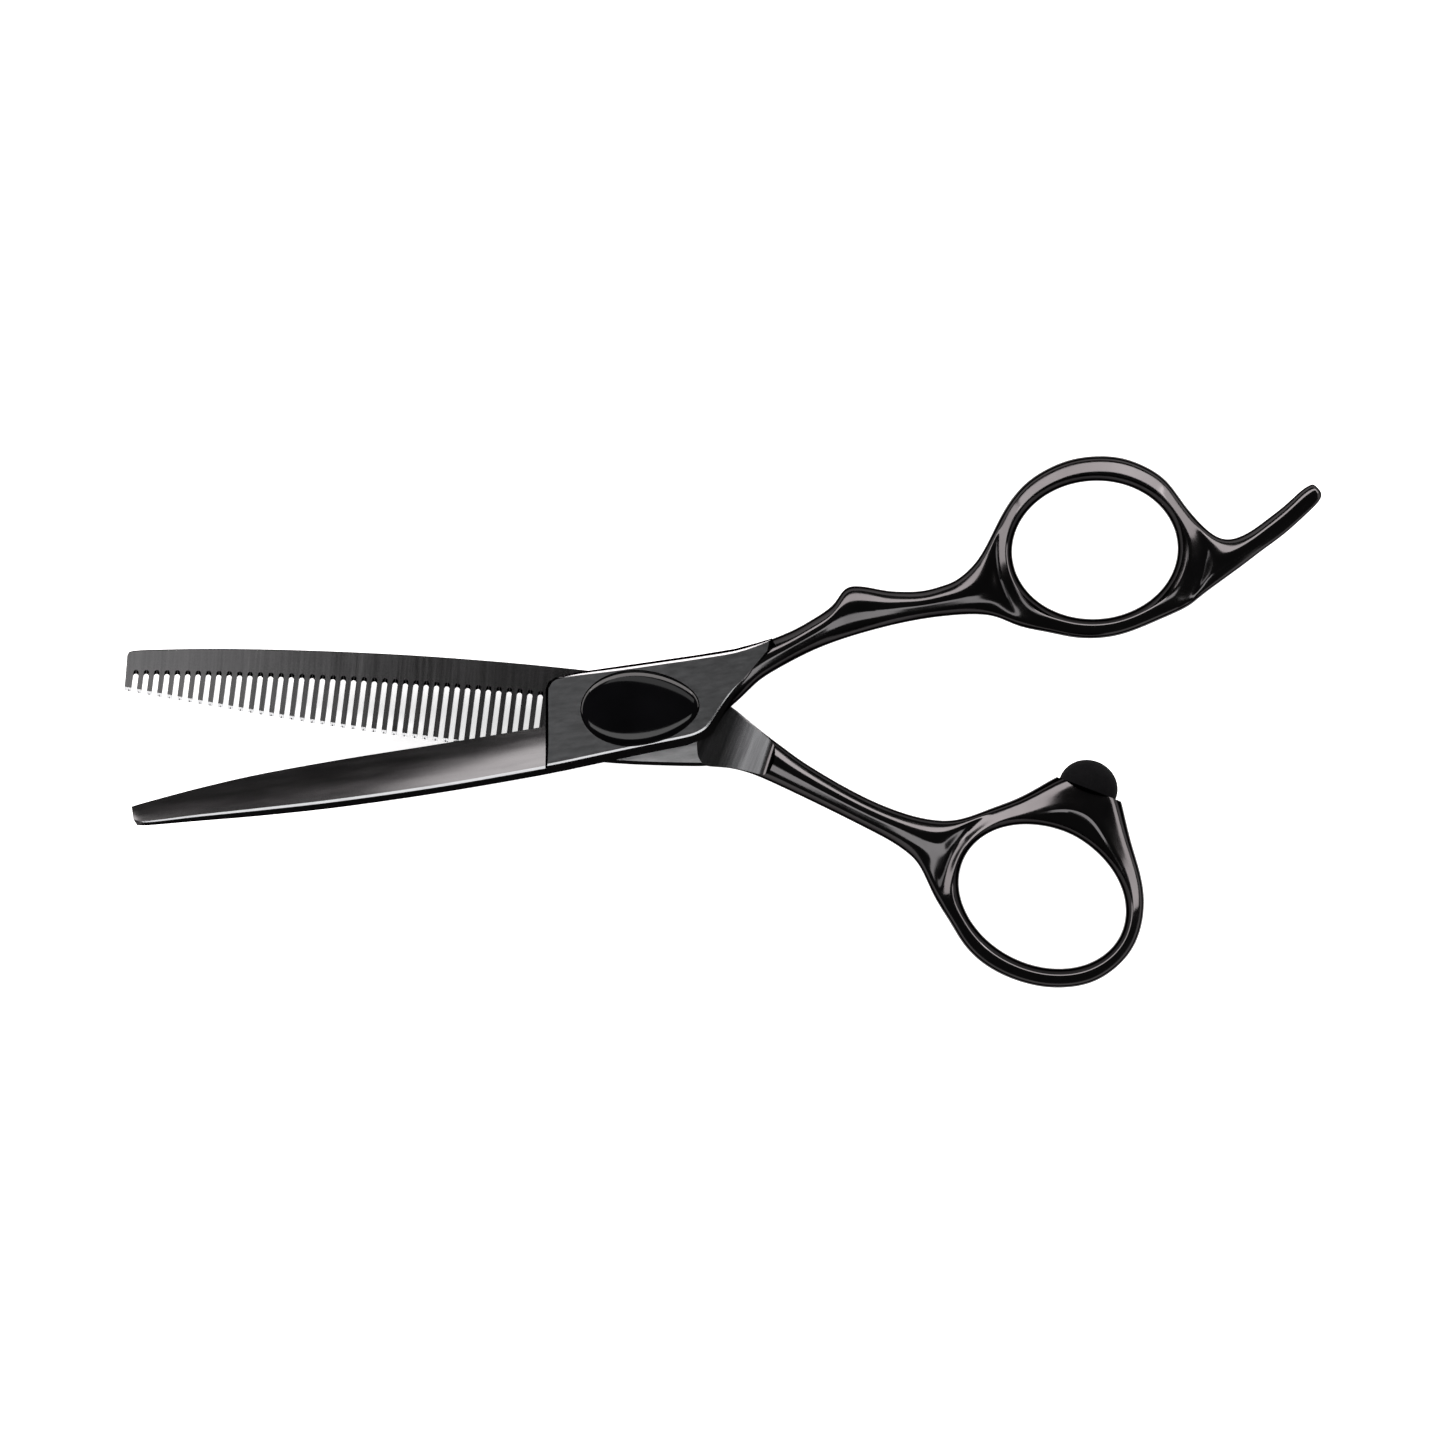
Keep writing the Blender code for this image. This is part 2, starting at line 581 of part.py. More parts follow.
def build_bumper(collection, mat):
    profile = [(0.0, -BUMPER_STEM_LENGTH), (BUMPER_STEM_R, -BUMPER_STEM_LENGTH), (BUMPER_STEM_R, BUMPER_GAP)]
    profile.append((BUMPER_R - BUMPER_RIM, BUMPER_GAP))
    for i in range(7):
        angle = math.radians(90.0 * i / 6.0)
        profile.append((BUMPER_R * math.cos(angle), 0.2 + (BUMPER_R - 0.35) * math.sin(angle)))
    obj = turned("rubber_bumper", collection, profile, SEGMENTS)
    obj.matrix_world = boss_matrix()
    finish(obj, mat)
    return obj


def build_cap(collection, mat):
    sections = []
    levels = [(0.0, CAP_SEAT_Z + 0.05), (0.0, FRONT_FACE_Z), (-0.35, FRONT_FACE_Z + 0.3),
              (-1.2, FRONT_FACE_Z + 0.62), (-2.6, FRONT_FACE_Z + 0.88), (-4.0, CAP_TOP_Z)]
    for grow, z in levels:
        sections.append([(x, y, z) for x, y in cap_outline(grow)])
    obj = lofted("oval_cap", collection, sections)
    finish(obj, mat, 60.0)
    return obj


def pocket_cutter(cutters):
    verts = []
    faces = []
    sides = POCKET_SEGMENTS
    for n in range(BALL_COUNT):
        angle = math.tau * n / BALL_COUNT
        base = len(verts)
        for z in (CUT_BELOW_Z, CUT_ABOVE_Z):
            for i in range(sides):
                turn = angle + math.tau * (i + 0.5) / sides
                verts.append((BALL_PITCH_R * math.cos(angle) + CAGE_POCKET_R * math.cos(turn),
                              BALL_PITCH_R * math.sin(angle) + CAGE_POCKET_R * math.sin(turn), z))
        faces.append(tuple(range(base, base + sides))[::-1])
        faces.append(tuple(range(base + sides, base + 2 * sides)))
        for i in range(sides):
            j = (i + 1) % sides
            faces.append((base + i, base + j, base + sides + j, base + sides + i))
    return mesh_object("ball_pockets", cutters, verts, faces)


def build_pivot(collection, cutters, steel, dark, nylon):
    profile = [(0.0, 0.0), (SCREW_HEAD_R - 0.25, 0.0), (SCREW_HEAD_R, 0.25), (SCREW_HEAD_R, SCREW_HEAD_H),
               (SCREW_R, SCREW_HEAD_H), (SCREW_R, SCREW_TOP_Z - 0.3), (SCREW_R - 0.3, SCREW_TOP_Z),
               (0.0, SCREW_TOP_Z)]
    screw = turned("pivot_screw", collection, profile, SEGMENTS)
    for side in (-1.0, 1.0):
        hole = disc_body("spanner_hole", cutters, SPANNER_HOLE_R, CUT_BELOW_Z, SPANNER_HOLE_DEPTH, POCKET_SEGMENTS)
        hole.location.x = side * SPANNER_HOLE_X * MM
        bpy.context.view_layer.update()
        boolean(screw, hole, "DIFFERENCE")
    finish(screw, steel)
    z_low, z_high = INSERT_Z
    step = z_high - INSERT_FLANGE_H
    profile = [(INSERT_BORE_R, z_low), (INSERT_R, z_low), (INSERT_R, step), (INSERT_FLANGE_R, step),
               (INSERT_FLANGE_R, z_high), (INSERT_BORE_R, z_high)]
    finish(turned("threaded_insert", collection, profile, SEGMENTS), steel)
    finish(ring_body("glide_washer", collection, WASHER_R_IN, WASHER_R_OUT, *WASHER_Z, SEGMENTS), nylon)
    finish(ring_body("wave_washer", collection, RACE_R_IN, RACE_R_OUT, *WAVE_WASHER_Z, SEGMENTS), steel)
    finish(ring_body("lower_race", collection, RACE_R_IN, RACE_R_OUT, *LOWER_RACE_Z, SEGMENTS), steel)
    finish(ring_body("upper_race", collection, RACE_R_IN, RACE_R_OUT, *UPPER_RACE_Z, SEGMENTS), steel)
    cage = ring_body("ball_cage", collection, RACE_R_IN + 0.3, RACE_R_OUT - 0.3, *CAGE_Z,
                     CAGE_SEGMENTS)
    boolean(cage, pocket_cutter(cutters), "DIFFERENCE")
    for n in range(BALL_COUNT):
        angle = math.tau * n / BALL_COUNT
        place = Vector((BALL_PITCH_R * math.cos(angle), BALL_PITCH_R * math.sin(angle), 0.0)) * MM
        name = "bearing_ball_%02d" % (n + 1)
        mesh = bpy.data.meshes.new(name)
        bm = bmesh.new()
        bmesh.ops.create_icosphere(bm, subdivisions=2, radius=BALL_R * MM)
        bm.to_mesh(mesh)
        bm.free()
        ball = bpy.data.objects.new(name, mesh)
        collection.objects.link(ball)
        ball.parent = cage
        ball.location = place + Vector((0.0, 0.0, BALL_Z * MM))
        finish(ball, steel, 60.0)
    finish(cage, dark)


def main():
    clear_scene()
    collection = make_collection("thinning_shears")
    cutters = make_collection("cutters")
    coated = material("black_coated_steel", (0.012, 0.012, 0.014), 0.12, 0.9)
    comb_steel = material("brushed_black_steel", (0.05, 0.05, 0.052), 0.32, 0.9)
    gloss = material("gloss_black_cap", (0.005, 0.005, 0.006), 0.05, 0.3)
    rubber = material("black_rubber", (0.006, 0.006, 0.006), 0.8, 0.0)
    steel = material("bearing_steel", (0.6, 0.6, 0.62), 0.2, 1.0)
    cage_steel = material("cage_bronze", (0.55, 0.4, 0.2), 0.35, 1.0)
    nylon = material("white_nylon", (0.8, 0.8, 0.76), 0.5, 0.0)
    build_front_half(collection, cutters, coated)
    comb_half = build_comb_half(collection, cutters, comb_steel)
    build_cap(collection, gloss)
    bumper = build_bumper(collection, rubber)
    bumper.parent = comb_half
    build_pivot(collection, cutters, steel, cage_steel, nylon)
    bpy.context.view_layer.update()


main()
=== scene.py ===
"""Looks of the thinning shears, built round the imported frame.  Lengths are in millimetres until MM."""
import math

import bmesh
import bpy
import numpy as np
from mathutils import Matrix, Vector


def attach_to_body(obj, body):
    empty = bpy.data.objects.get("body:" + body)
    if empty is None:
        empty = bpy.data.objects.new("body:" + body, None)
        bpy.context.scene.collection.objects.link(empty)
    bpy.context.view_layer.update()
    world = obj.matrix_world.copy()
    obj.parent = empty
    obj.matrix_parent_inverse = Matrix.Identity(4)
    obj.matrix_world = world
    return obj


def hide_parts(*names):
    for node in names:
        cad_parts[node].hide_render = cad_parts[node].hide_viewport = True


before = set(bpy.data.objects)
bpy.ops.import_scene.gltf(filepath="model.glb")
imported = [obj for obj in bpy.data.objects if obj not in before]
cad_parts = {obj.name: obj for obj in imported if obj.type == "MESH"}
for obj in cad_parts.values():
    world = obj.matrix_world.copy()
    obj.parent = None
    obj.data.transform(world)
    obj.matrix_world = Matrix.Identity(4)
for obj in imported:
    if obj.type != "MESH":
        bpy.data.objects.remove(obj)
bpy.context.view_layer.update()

MM = 0.001
# Heights over the resting plane, with the pivot axis on x = 0, y = 0.
RIDE_Z = 4.17        # ride face of the comb half
FRONT_RIDE_Z = 4.23  # ride face of the front half
FACE_Z = 7.3         # front face of the ricasso
MID_Z = 4.2          # middle plane of the rings
RING_HALF = 3.0      # half the rings' thickness
SUBDIVISIONS = 3     # levels of subdivision of the handles' cages

# ---------------------------------------------------------------- materials


class Nodes:
    """Short way to build one material's node tree."""

    def __init__(self, name):
        self.mat = bpy.data.materials.new(name)
        self.mat.use_nodes = True
        self.tree = self.mat.node_tree
        self.shader = self.tree.nodes["Principled BSDF"]
        self.coords = self.add("ShaderNodeTexCoord").outputs["Object"]

    def add(self, kind, **values):
        node = self.tree.nodes.new(kind)
        for key, value in values.items():
            setattr(node, key, value)
        return node

    def link(self, source, target):
        self.tree.links.new(source, target)

    def mapped(self, scale, rotation=(0.0, 0.0, 0.0)):
        node = self.add("ShaderNodeMapping", vector_type="TEXTURE")
        node.inputs["Scale"].default_value = scale
        node.inputs["Rotation"].default_value = rotation
        self.link(self.coords, node.inputs["Vector"])
        return node.outputs["Vector"]

    def noise(self, scale, detail=3.0, stretch=(1.0, 1.0, 1.0), rotation=(0.0, 0.0, 0.0), rough=0.5):
        node = self.add("ShaderNodeTexNoise")
        node.inputs["Scale"].default_value = scale
        node.inputs["Detail"].default_value = detail
        node.inputs["Roughness"].default_value = rough
        self.link(self.mapped(stretch, rotation), node.inputs["Vector"])
        return node.outputs["Fac"]

    def lathe_marks(self, scale):
        """Fine rings about the pivot axis."""
        radius = self.add("ShaderNodeVectorMath", operation="LENGTH")
        self.link(self.mapped((1.0, 1.0, 1.0e6)), radius.inputs[0])
        node = self.add("ShaderNodeTexNoise", noise_dimensions="1D")
        node.inputs["Scale"].default_value = scale
        node.inputs["Detail"].default_value = 3.0
        self.link(radius.outputs["Value"], node.inputs["W"])
        return node.outputs["Fac"]

    def span(self, value, low_in, high_in, low_out, high_out):
        node = self.add("ShaderNodeMapRange")
        node.inputs["From Min"].default_value = low_in
        node.inputs["From Max"].default_value = high_in
        node.inputs["To Min"].default_value = low_out
        node.inputs["To Max"].default_value = high_out
        self.link(value, node.inputs["Value"])
        return node.outputs["Result"]

    def math(self, operation, a, b):
        node = self.add("ShaderNodeMath", operation=operation)
        for socket, value in zip(node.inputs, (a, b)):
            if isinstance(value, float):
                socket.default_value = value
            else:
                self.link(value, socket)
        return node.outputs["Value"]

    def ramp(self, value, stops):
        node = self.add("ShaderNodeValToRGB")
        elements = node.color_ramp.elements
        while len(elements) < len(stops):
            elements.new(0.5)
        for element, (position, colour) in zip(elements, stops):
            element.position = position
            element.color = (*colour, 1.0)
        self.link(value, node.inputs["Fac"])
        return node.outputs["Color"]

    def bump(self, height, strength, distance):
        node = self.add("ShaderNodeBump")
        node.inputs["Strength"].default_value = strength
        node.inputs["Distance"].default_value = distance
        self.link(height, node.inputs["Height"])
        self.link(node.outputs["Normal"], self.shader.inputs["Normal"])

    def set(self, **values):
        for key, value in values.items():
            socket = self.shader.inputs[key.replace("_", " ")]
            if isinstance(value, (float, tuple)):
                socket.default_value = value
            else:
                self.link(value, socket)


EDGE_TINT = (0.3, 0.3, 0.3, 1.0)


def gloss_coating():
    n = Nodes("gloss_black_coating")
    cloud = n.noise(90.0, 4.0)
    fine = n.noise(2600.0, 2.0)
    n.set(Base_Color=n.ramp(cloud, [(0.3, (0.021, 0.020, 0.0205)), (0.7, (0.029, 0.028, 0.0285))]))
    n.set(Metallic=1.0, Roughness=n.span(n.noise(400.0, 5.0), 0.3, 0.75, 0.1, 0.17))
    n.set(Specular_Tint=EDGE_TINT)
    n.bump(fine, 0.06, 0.00002)
    return n.mat


def blade_coating():
    """The ground flank of the solid blade: the same coating with the long polishing marks left in."""
    n = Nodes("polished_black_flank")
    marks = n.noise(900.0, 4.0, (9.0, 1.0, 1.0), (0.0, 0.0, math.radians(8.0)), 0.6)
    n.set(Base_Color=n.ramp(marks, [(0.3, (0.027, 0.027, 0.0275)), (0.7, (0.036, 0.036, 0.0365))]))
    n.set(Metallic=1.0, Roughness=n.span(marks, 0.3, 0.7, 0.19, 0.24))
    n.set(Specular_Tint=EDGE_TINT)
    n.bump(marks, 0.05, 0.00002)
    return n.mat


def satin_coating(name, dark, light, low=0.34, high=0.42):
    n = Nodes(name)
    grain = n.noise(1500.0, 6.0, (4.0, 1.0, 1.0), (0.0, 0.0, math.radians(9.0)), 0.65)
    speck = n.noise(5200.0, 3.0)
    n.set(Base_Color=n.ramp(grain, [(0.25, dark), (0.75, light)]))
    n.set(Metallic=1.0, Roughness=n.span(grain, 0.3, 0.7, low, high))
    n.set(Specular_Tint=EDGE_TINT)
    n.bump(n.math("ADD", grain, n.math("MULTIPLY", speck, 0.5)), 0.14, 0.00003)
    return n.mat


def brushed_coating(name, direction, dark, light, low, high):
    """Grain that runs along the given direction in the plane of the blades (degrees from +X)."""
    n = Nodes(name)
    turn = (0.0, 0.0, math.radians(direction))
    fine = n.noise(2600.0, 5.0, (30.0, 1.0, 1.0), turn, 0.7)
    broad = n.noise(600.0, 3.0, (20.0, 1.0, 1.0), turn)
    mix = n.math("ADD", n.math("MULTIPLY", fine, 0.6), n.math("MULTIPLY", broad, 0.4))
    n.set(Base_Color=n.ramp(mix, [(0.3, dark), (0.7, light)]))
    n.set(Metallic=1.0, Roughness=n.span(mix, 0.3, 0.7, low, high))
    n.set(Specular_Tint=EDGE_TINT)
    n.bump(mix, 0.2, 0.00003)
    return n.mat


def cap_gloss():
    n = Nodes("gloss_black_cap")
    cloud = n.noise(160.0, 3.0)
    n.set(Base_Color=n.ramp(cloud, [(0.3, (0.0004, 0.0004, 0.0005)), (0.7, (0.0009, 0.0009, 0.0011))]))
    n.set(Metallic=0.0, Roughness=n.span(cloud, 0.3, 0.7, 0.07, 0.1))
    n.shader.inputs["IOR"].default_value = 1.42
    n.shader.inputs["Specular IOR Level"].default_value = 0.16
    n.bump(n.noise(3000.0, 2.0), 0.03, 0.00001)
    return n.mat


def rubber():
    n = Nodes("matt_black_rubber")
    grain = n.noise(3800.0, 4.0)
    cloud = n.noise(500.0, 3.0)
    n.set(Base_Color=n.ramp(cloud, [(0.3, (0.0008, 0.0008, 0.0009)), (0.7, (0.0016, 0.0016, 0.0018))]))
    n.set(Metallic=0.0, Roughness=n.span(grain, 0.3, 0.7, 0.75, 0.95))
    n.shader.inputs["Specular IOR Level"].default_value = 0.02
    n.bump(grain, 0.3, 0.00003)
    return n.mat


def turned_steel():
    n = Nodes("turned_steel")
    marks = n.lathe_marks(7000.0)
    n.set(Base_Color=n.ramp(marks, [(0.3, (0.46, 0.46, 0.47)), (0.7, (0.58, 0.58, 0.59))]))
    n.set(Metallic=1.0, Roughness=n.span(marks, 0.3, 0.7, 0.2, 0.3))
    n.bump(marks, 0.12, 0.00002)
    return n.mat


def bronze():
    n = Nodes("cage_bronze")
    grain = n.noise(1500.0, 4.0)
    n.set(Base_Color=n.ramp(grain, [(0.3, (0.45, 0.3, 0.13)), (0.7, (0.62, 0.45, 0.22))]))
    n.set(Metallic=1.0, Roughness=n.span(grain, 0.3, 0.7, 0.3, 0.42))
    n.bump(grain, 0.15, 0.00003)
    return n.mat


def nylon():
    n = Nodes("white_nylon")
    grain = n.noise(1200.0, 4.0)
    n.set(Base_Color=n.ramp(grain, [(0.3, (0.72, 0.72, 0.68)), (0.7, (0.82, 0.82, 0.79))]))
    n.set(Metallic=0.0, Roughness=n.span(grain, 0.3, 0.7, 0.45, 0.6))
    n.bump(grain, 0.1, 0.00003)
    return n.mat


GLOSS = gloss_coating()
SATIN = satin_coating("satin_black_coating", (0.044, 0.045, 0.046), (0.063, 0.064, 0.066))
RIDE = satin_coating("lapped_ride_face", (0.2, 0.2, 0.203), (0.3, 0.3, 0.305))
# The edge coating is smoother than the satin coating, which is a polished finish. It is also brighter, which
# paints the highlight lines along the bevels and the blade's land.
EDGE_WITH_PAINTED_HIGHLIGHT = satin_coating("polished_edge_painted_highlight", (0.08, 0.08, 0.082), (0.12, 0.12, 0.1225), 0.14, 0.22)
COMB_GRAIN = brushed_coating("brushed_comb", 86.0, (0.03, 0.0295, 0.03), (0.06, 0.059, 0.06), 0.18, 0.27)
RAMP_GRAIN = brushed_coating("brushed_ramp", 68.0, (0.026, 0.026, 0.027), (0.085, 0.085, 0.0875), 0.15, 0.21)
FLANK = blade_coating()
CAP = cap_gloss()
RUBBER = rubber()
STEEL = turned_steel()
BRONZE = bronze()
NYLON = nylon()

# ---------------------------------------------------------------- mesh helpers

TURNED_SEGMENTS = 96

workshop = bpy.data.collections.new("workshop")
bpy.context.scene.collection.children.link(workshop)


def mesh_object(name, verts, faces, mat=None, scale=MM):
    mesh = bpy.data.meshes.new(name)
    mesh.from_pydata([Vector(v) * scale for v in verts], [], faces)
    bm = bmesh.new()
    bm.from_mesh(mesh)
    bmesh.ops.recalc_face_normals(bm, faces=bm.faces)
    if bm.calc_volume(signed=True) < 0.0:
        bmesh.ops.reverse_faces(bm, faces=bm.faces)
    bm.to_mesh(mesh)
    bm.free()
    if mat:
        mesh.materials.append(mat)
    obj = bpy.data.objects.new(name, mesh)
    workshop.objects.link(obj)
    return obj


def bake(obj):
    """Turns the modifiers' result into the object's own mesh."""
    depsgraph = bpy.context.evaluated_depsgraph_get()
    mesh = bpy.data.meshes.new_from_object(obj.evaluated_get(depsgraph), depsgraph=depsgraph)
    obj.modifiers.clear()
    obj.data = mesh
    return obj


def boolean(obj, cutter, operation):
    """Joins the cutter to obj or cuts it away, and removes the cutter."""
    bpy.context.view_layer.update()
    modifier = obj.modifiers.new("join", "BOOLEAN")
    modifier.operation = operation
    modifier.solver = "EXACT"
    modifier.material_mode = "TRANSFER"
    modifier.object = cutter
    bake(obj)
    bpy.data.objects.remove(cutter, do_unlink=True)


def smooth(obj, angle=14.0):
    """Smooth shading, with edges of more than angle degrees kept sharp."""
    for polygon in obj.data.polygons:
        polygon.use_smooth = True
    obj.data.set_sharp_from_angle(angle=math.radians(angle))


def place(obj, name, body, slot, *nodes):
    """Puts the finished piece in the scene, on its body, in place of the CAD nodes."""
    obj.name = name
    workshop.objects.unlink(obj)
    bpy.context.scene.collection.objects.link(obj)
    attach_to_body(obj, body)
    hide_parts(*nodes)


def inset(outline, distance):
    """The outline moved inwards by distance (corners mitred); it runs clockwise or anticlockwise."""
    points = [Vector(p) for p in outline]
    count = len(points)
    area = sum(points[i].x * points[(i + 1) % count].y - points[(i + 1) % count].x * points[i].y
               for i in range(count))
    side = 1.0 if area > 0 else -1.0
    moved = []
    for i in range(count):
        before = (points[i] - points[i - 1]).normalized()
        after = (points[(i + 1) % count] - points[i]).normalized()
        normal_before = Vector((-before.y, before.x)) * side
        normal_after = Vector((-after.y, after.x)) * side
        middle = (normal_before + normal_after).normalized()
        moved.append(points[i] + middle * (distance / max(0.35, middle.dot(normal_after))))
    return [(p.x, p.y) for p in moved]


def stacked(name, outline, levels, mat, top_mat=None):
    """Prism whose outline is inset by levels[k][0] at height levels[k][1]."""
    verts = []
    faces = []
    count = len(outline)
    for distance, z in levels:
        verts.extend([(x, y, z) for x, y in (inset(outline, distance) if distance else outline)])
    for k in range(len(levels) - 1):
        for i in range(count):
            j = (i + 1) % count
            faces.append((k * count + i, k * count + j, (k + 1) * count + j, (k + 1) * count + i))
    faces.append(tuple(range(count))[::-1])
    faces.append(tuple(range((len(levels) - 1) * count, len(levels) * count)))
    obj = mesh_object(name, verts, faces, mat)
    if top_mat:
        obj.data.materials.append(top_mat)
        obj.data.polygons[len(faces) - 1].material_index = 1
    return obj


def disc(name, radius, z_low, z_high, segments, mat, centre=(0.0, 0.0)):
    outline = [(centre[0] + radius * math.cos(math.tau * i / segments),
                centre[1] + radius * math.sin(math.tau * i / segments)) for i in range(segments)]
    return stacked(name, outline, [(0.0, z_low), (0.0, z_high)], mat)


def turned(name, profile, segments, mat):
    """Solid of revolution about Z from (radius, z) pairs in order round the section."""
    verts = []
    for step in range(segments):
        angle = math.tau * step / segments
        verts.extend([(r * math.cos(angle), r * math.sin(angle), z) for r, z in profile])
    faces = []
    count = len(profile)
    for step in range(segments):
        following = (step + 1) % segments
        for i in range(count):
            j = (i + 1) % count
            faces.append((step * count + i, step * count + j, following * count + j, following * count + i))
    obj = mesh_object(name, verts, faces, mat)
    bm = bmesh.new()
    bm.from_mesh(obj.data)
    bmesh.ops.remove_doubles(bm, verts=bm.verts, dist=1e-7)
    bmesh.ops.dissolve_degenerate(bm, edges=bm.edges, dist=1e-8)
    bmesh.ops.recalc_face_normals(bm, faces=bm.faces)
    bm.to_mesh(obj.data)
    bm.free()
    return obj


def rounded(points, radius, steps=4):
    """Section corners (r, z) rounded by the given radius, for turned parts."""
    result = []
    count = len(points)
    for i in range(count):
        here = Vector(points[i])
        before = Vector(points[i - 1]) - here
        after = Vector(points[(i + 1) % count]) - here
        if here.x < 1e-6:
            result.append(tuple(here))
            continue
        reach = min(radius, before.length * 0.45, after.length * 0.45)
        start = here + before.normalized() * reach
        end = here + after.normalized() * reach
        for k in range(steps + 1):
            t = k / steps
            result.append(tuple(start * (1 - t) ** 2 + here * 2 * t * (1 - t) + end * t ** 2))
    return result


def lofted(name, sections, mat, strip_mats=None):
    """Skin over equal-length sections; strip_mats gives a material index per side of the section."""
    verts = []
    faces = []
    indices = []
    size = len(sections[0])
    for section in sections:
        verts.extend(section)
    for k in range(len(sections) - 1):
        for i in range(size):
            j = (i + 1) % size
            faces.append((k * size + i, k * size + j, (k + 1) * size + j, (k + 1) * size + i))
            indices.append(strip_mats[i] if strip_mats else 0)
    faces.append(tuple(range(size)))
    faces.append(tuple(range((len(sections) - 1) * size, len(sections) * size))[::-1])
    indices.extend([0, 0])
    obj = mesh_object(name, verts, faces, mat)
    for polygon, index in zip(obj.data.polygons, indices):
        polygon.material_index = index
    return obj


def dense(rows, per_span):
    """Rows of numbers joined by a smooth curve through them, per_span steps between neighbours."""
    table = np.array(rows, dtype=float)
    count = len(table)
    position = np.arange(count)
    result = []
    for i in range(count - 1):
        p0 = table[max(i - 1, 0)]
        p1 = table[i]
        p2 = table[i + 1]
        p3 = table[min(i + 2, count - 1)]
        s1 = (p2 - p0) / (position[min(i + 1, count - 1)] - position[max(i - 1, 0)])
        s2 = (p3 - p1) / (position[min(i + 2, count - 1)] - position[i])
        for k in range(per_span):
            t = k / per_span
            result.append((2 * t ** 3 - 3 * t ** 2 + 1) * p1 + (t ** 3 - 2 * t ** 2 + t) * s1
                          + (3 * t ** 2 - 2 * t ** 3) * p2 + (t ** 3 - t ** 2) * s2)
    result.append(table[-1])
    return [tuple(float(v) for v in row) for row in result]


def spline_controls(points, closed):
    """Cage points whose smooth curve passes through the given points."""
    values = np.array(points, dtype=float)
    count = len(values)
    matrix = np.zeros((count, count))
    for i in range(count):
        if closed or i not in (0, count - 1):
            matrix[i, i] = 4.0 / 6.0
            matrix[i, (i - 1) % count] += 1.0 / 6.0
            matrix[i, (i + 1) % count] += 1.0 / 6.0
        else:
            matrix[i, i] = 1.0
    return np.linalg.solve(matrix, values)


# ---------------------------------------------------------------- handles

RING_STATIONS = 24
RING_STEP = 360.0 / RING_STATIONS
# Ring holes are ellipses: centre x, y, half the long and the short axis, tilt in degrees.
FINGER_HOLE = (65.2, 22.2, 11.42, 9.48, 3.9)
THUMB_HOLE = (57.9, -25.9, 12.02, 9.31, -26.7)
# Distance from the hole's centre to the ring's outline, every RING_STEP degrees from +X.
FINGER_OUTER = [15.8, 14.82, 14.0, 13.95, 13.69, 13.44, 13.19, 13.13, 13.19, 13.44, 13.69, 14.0,
                14.1, 14.2, 14.4, 14.63, 13.31, 12.63, 12.38, 12.38, 12.63, 13.51, 15.13, 15.8]
THUMB_OUTER = [14.25, 14.13, 14.57, 16.4, 19.2, 18.5, 15.7, 14.2, 14.13, 14.2, 14.3, 14.4,
               14.63, 13.44, 12.88, 12.56, 12.31, 12.31, 12.63, 13.19, 13.88, 14.32, 14.57, 14.45]
# Extra half thickness at the same stations.
FINGER_SWELL = [0.0] * RING_STATIONS
THUMB_SWELL = [0.0, 0.0, 0.2, 0.75, 1.0, 1.0, 0.6, 0.2] + [0.0] * 16

# Stations along a shank or tang: upper x, y, lower x, y, middle height, half thickness.
FRONT_SHANK = [
    (7.6, 6.6, 8.6, -4.2, 4.1, 3.0), (12.1, 7.7, 11.8, -3.5, 4.1, 3.0), (15.3, 8.4, 13.7, -0.8, 4.1, 3.0),
    (18.0, 9.1, 16.0, 1.5, 4.1, 3.0), (20.8, 10.1, 18.3, 3.7, 4.15, 3.05),
    (23.6, 11.3, 20.8, 5.4, 4.2, 3.1), (26.4, 12.9, 23.9, 7.1, 4.2, 3.1), (29.1, 15.0, 27.1, 8.6, 4.2, 3.1),
    (31.2, 17.2, 31.0, 10.0, 4.2, 3.1), (35.4, 16.8, 35.1, 11.2, 4.2, 2.9),
    (38.2, 16.5, 38.4, 12.0, 4.2, 2.8), (41.2, 16.6, 41.6, 12.6, 4.2, 2.8),
    (44.0, 17.3, 44.8, 13.0, 4.2, 2.8), (46.2, 18.3, 48.2, 13.2, 4.2, 2.9),
    (49.0, 21.1, 51.5, 12.8, 4.2, 3.0)]
COMB_SHANK = [
    (10.4, 2.5, 9.4, -7.7, 3.6, 2.5), (13.9, 1.1, 12.1, -8.0, 3.6, 2.5), (16.7, -1.0, 14.6, -8.2, 3.6, 2.5),
    (19.4, -3.2, 17.4, -8.9, 3.65, 2.55), (22.2, -5.3, 20.1, -10.0, 3.7, 2.6),
    (25.0, -7.3, 22.9, -11.3, 3.8, 2.6), (29.8, -10.2, 27.9, -13.7, 3.9, 2.6),
    (34.7, -12.7, 32.9, -16.2, 4.0, 2.7), (38.9, -14.3, 36.5, -18.1, 4.1, 2.8),
    (42.3, -15.1, 38.9, -19.7, 4.2, 2.9), (46.2, -15.1, 40.9, -21.9, 4.2, 3.0)]
TANG = [
    (82.9, 23.9, 80.5, 16.1, 4.2, 2.8), (86.1, 24.5, 85.1, 19.5, 4.2, 2.5),
    (88.8, 26.3, 88.4, 22.0, 4.2, 2.3), (91.6, 28.5, 91.6, 24.4, 4.2, 2.1),
    (93.7, 30.4, 94.4, 26.9, 4.2, 1.9), (94.9, 31.2, 96.2, 28.7, 4.2, 1.7),
    (95.6, 31.5, 96.98, 30.1, 4.2, 1.3)]

# Section of a ring: share of the way from the outline to the hole, height as a share of half the thickness.
RING_ROWS = [(0.0, 0.0), (0.15, 0.66), (0.66, 1.03), (0.95, 0.64), (1.0, 0.0), (0.93, -0.66), (0.5, -1.03),
             (0.07, -0.62)]
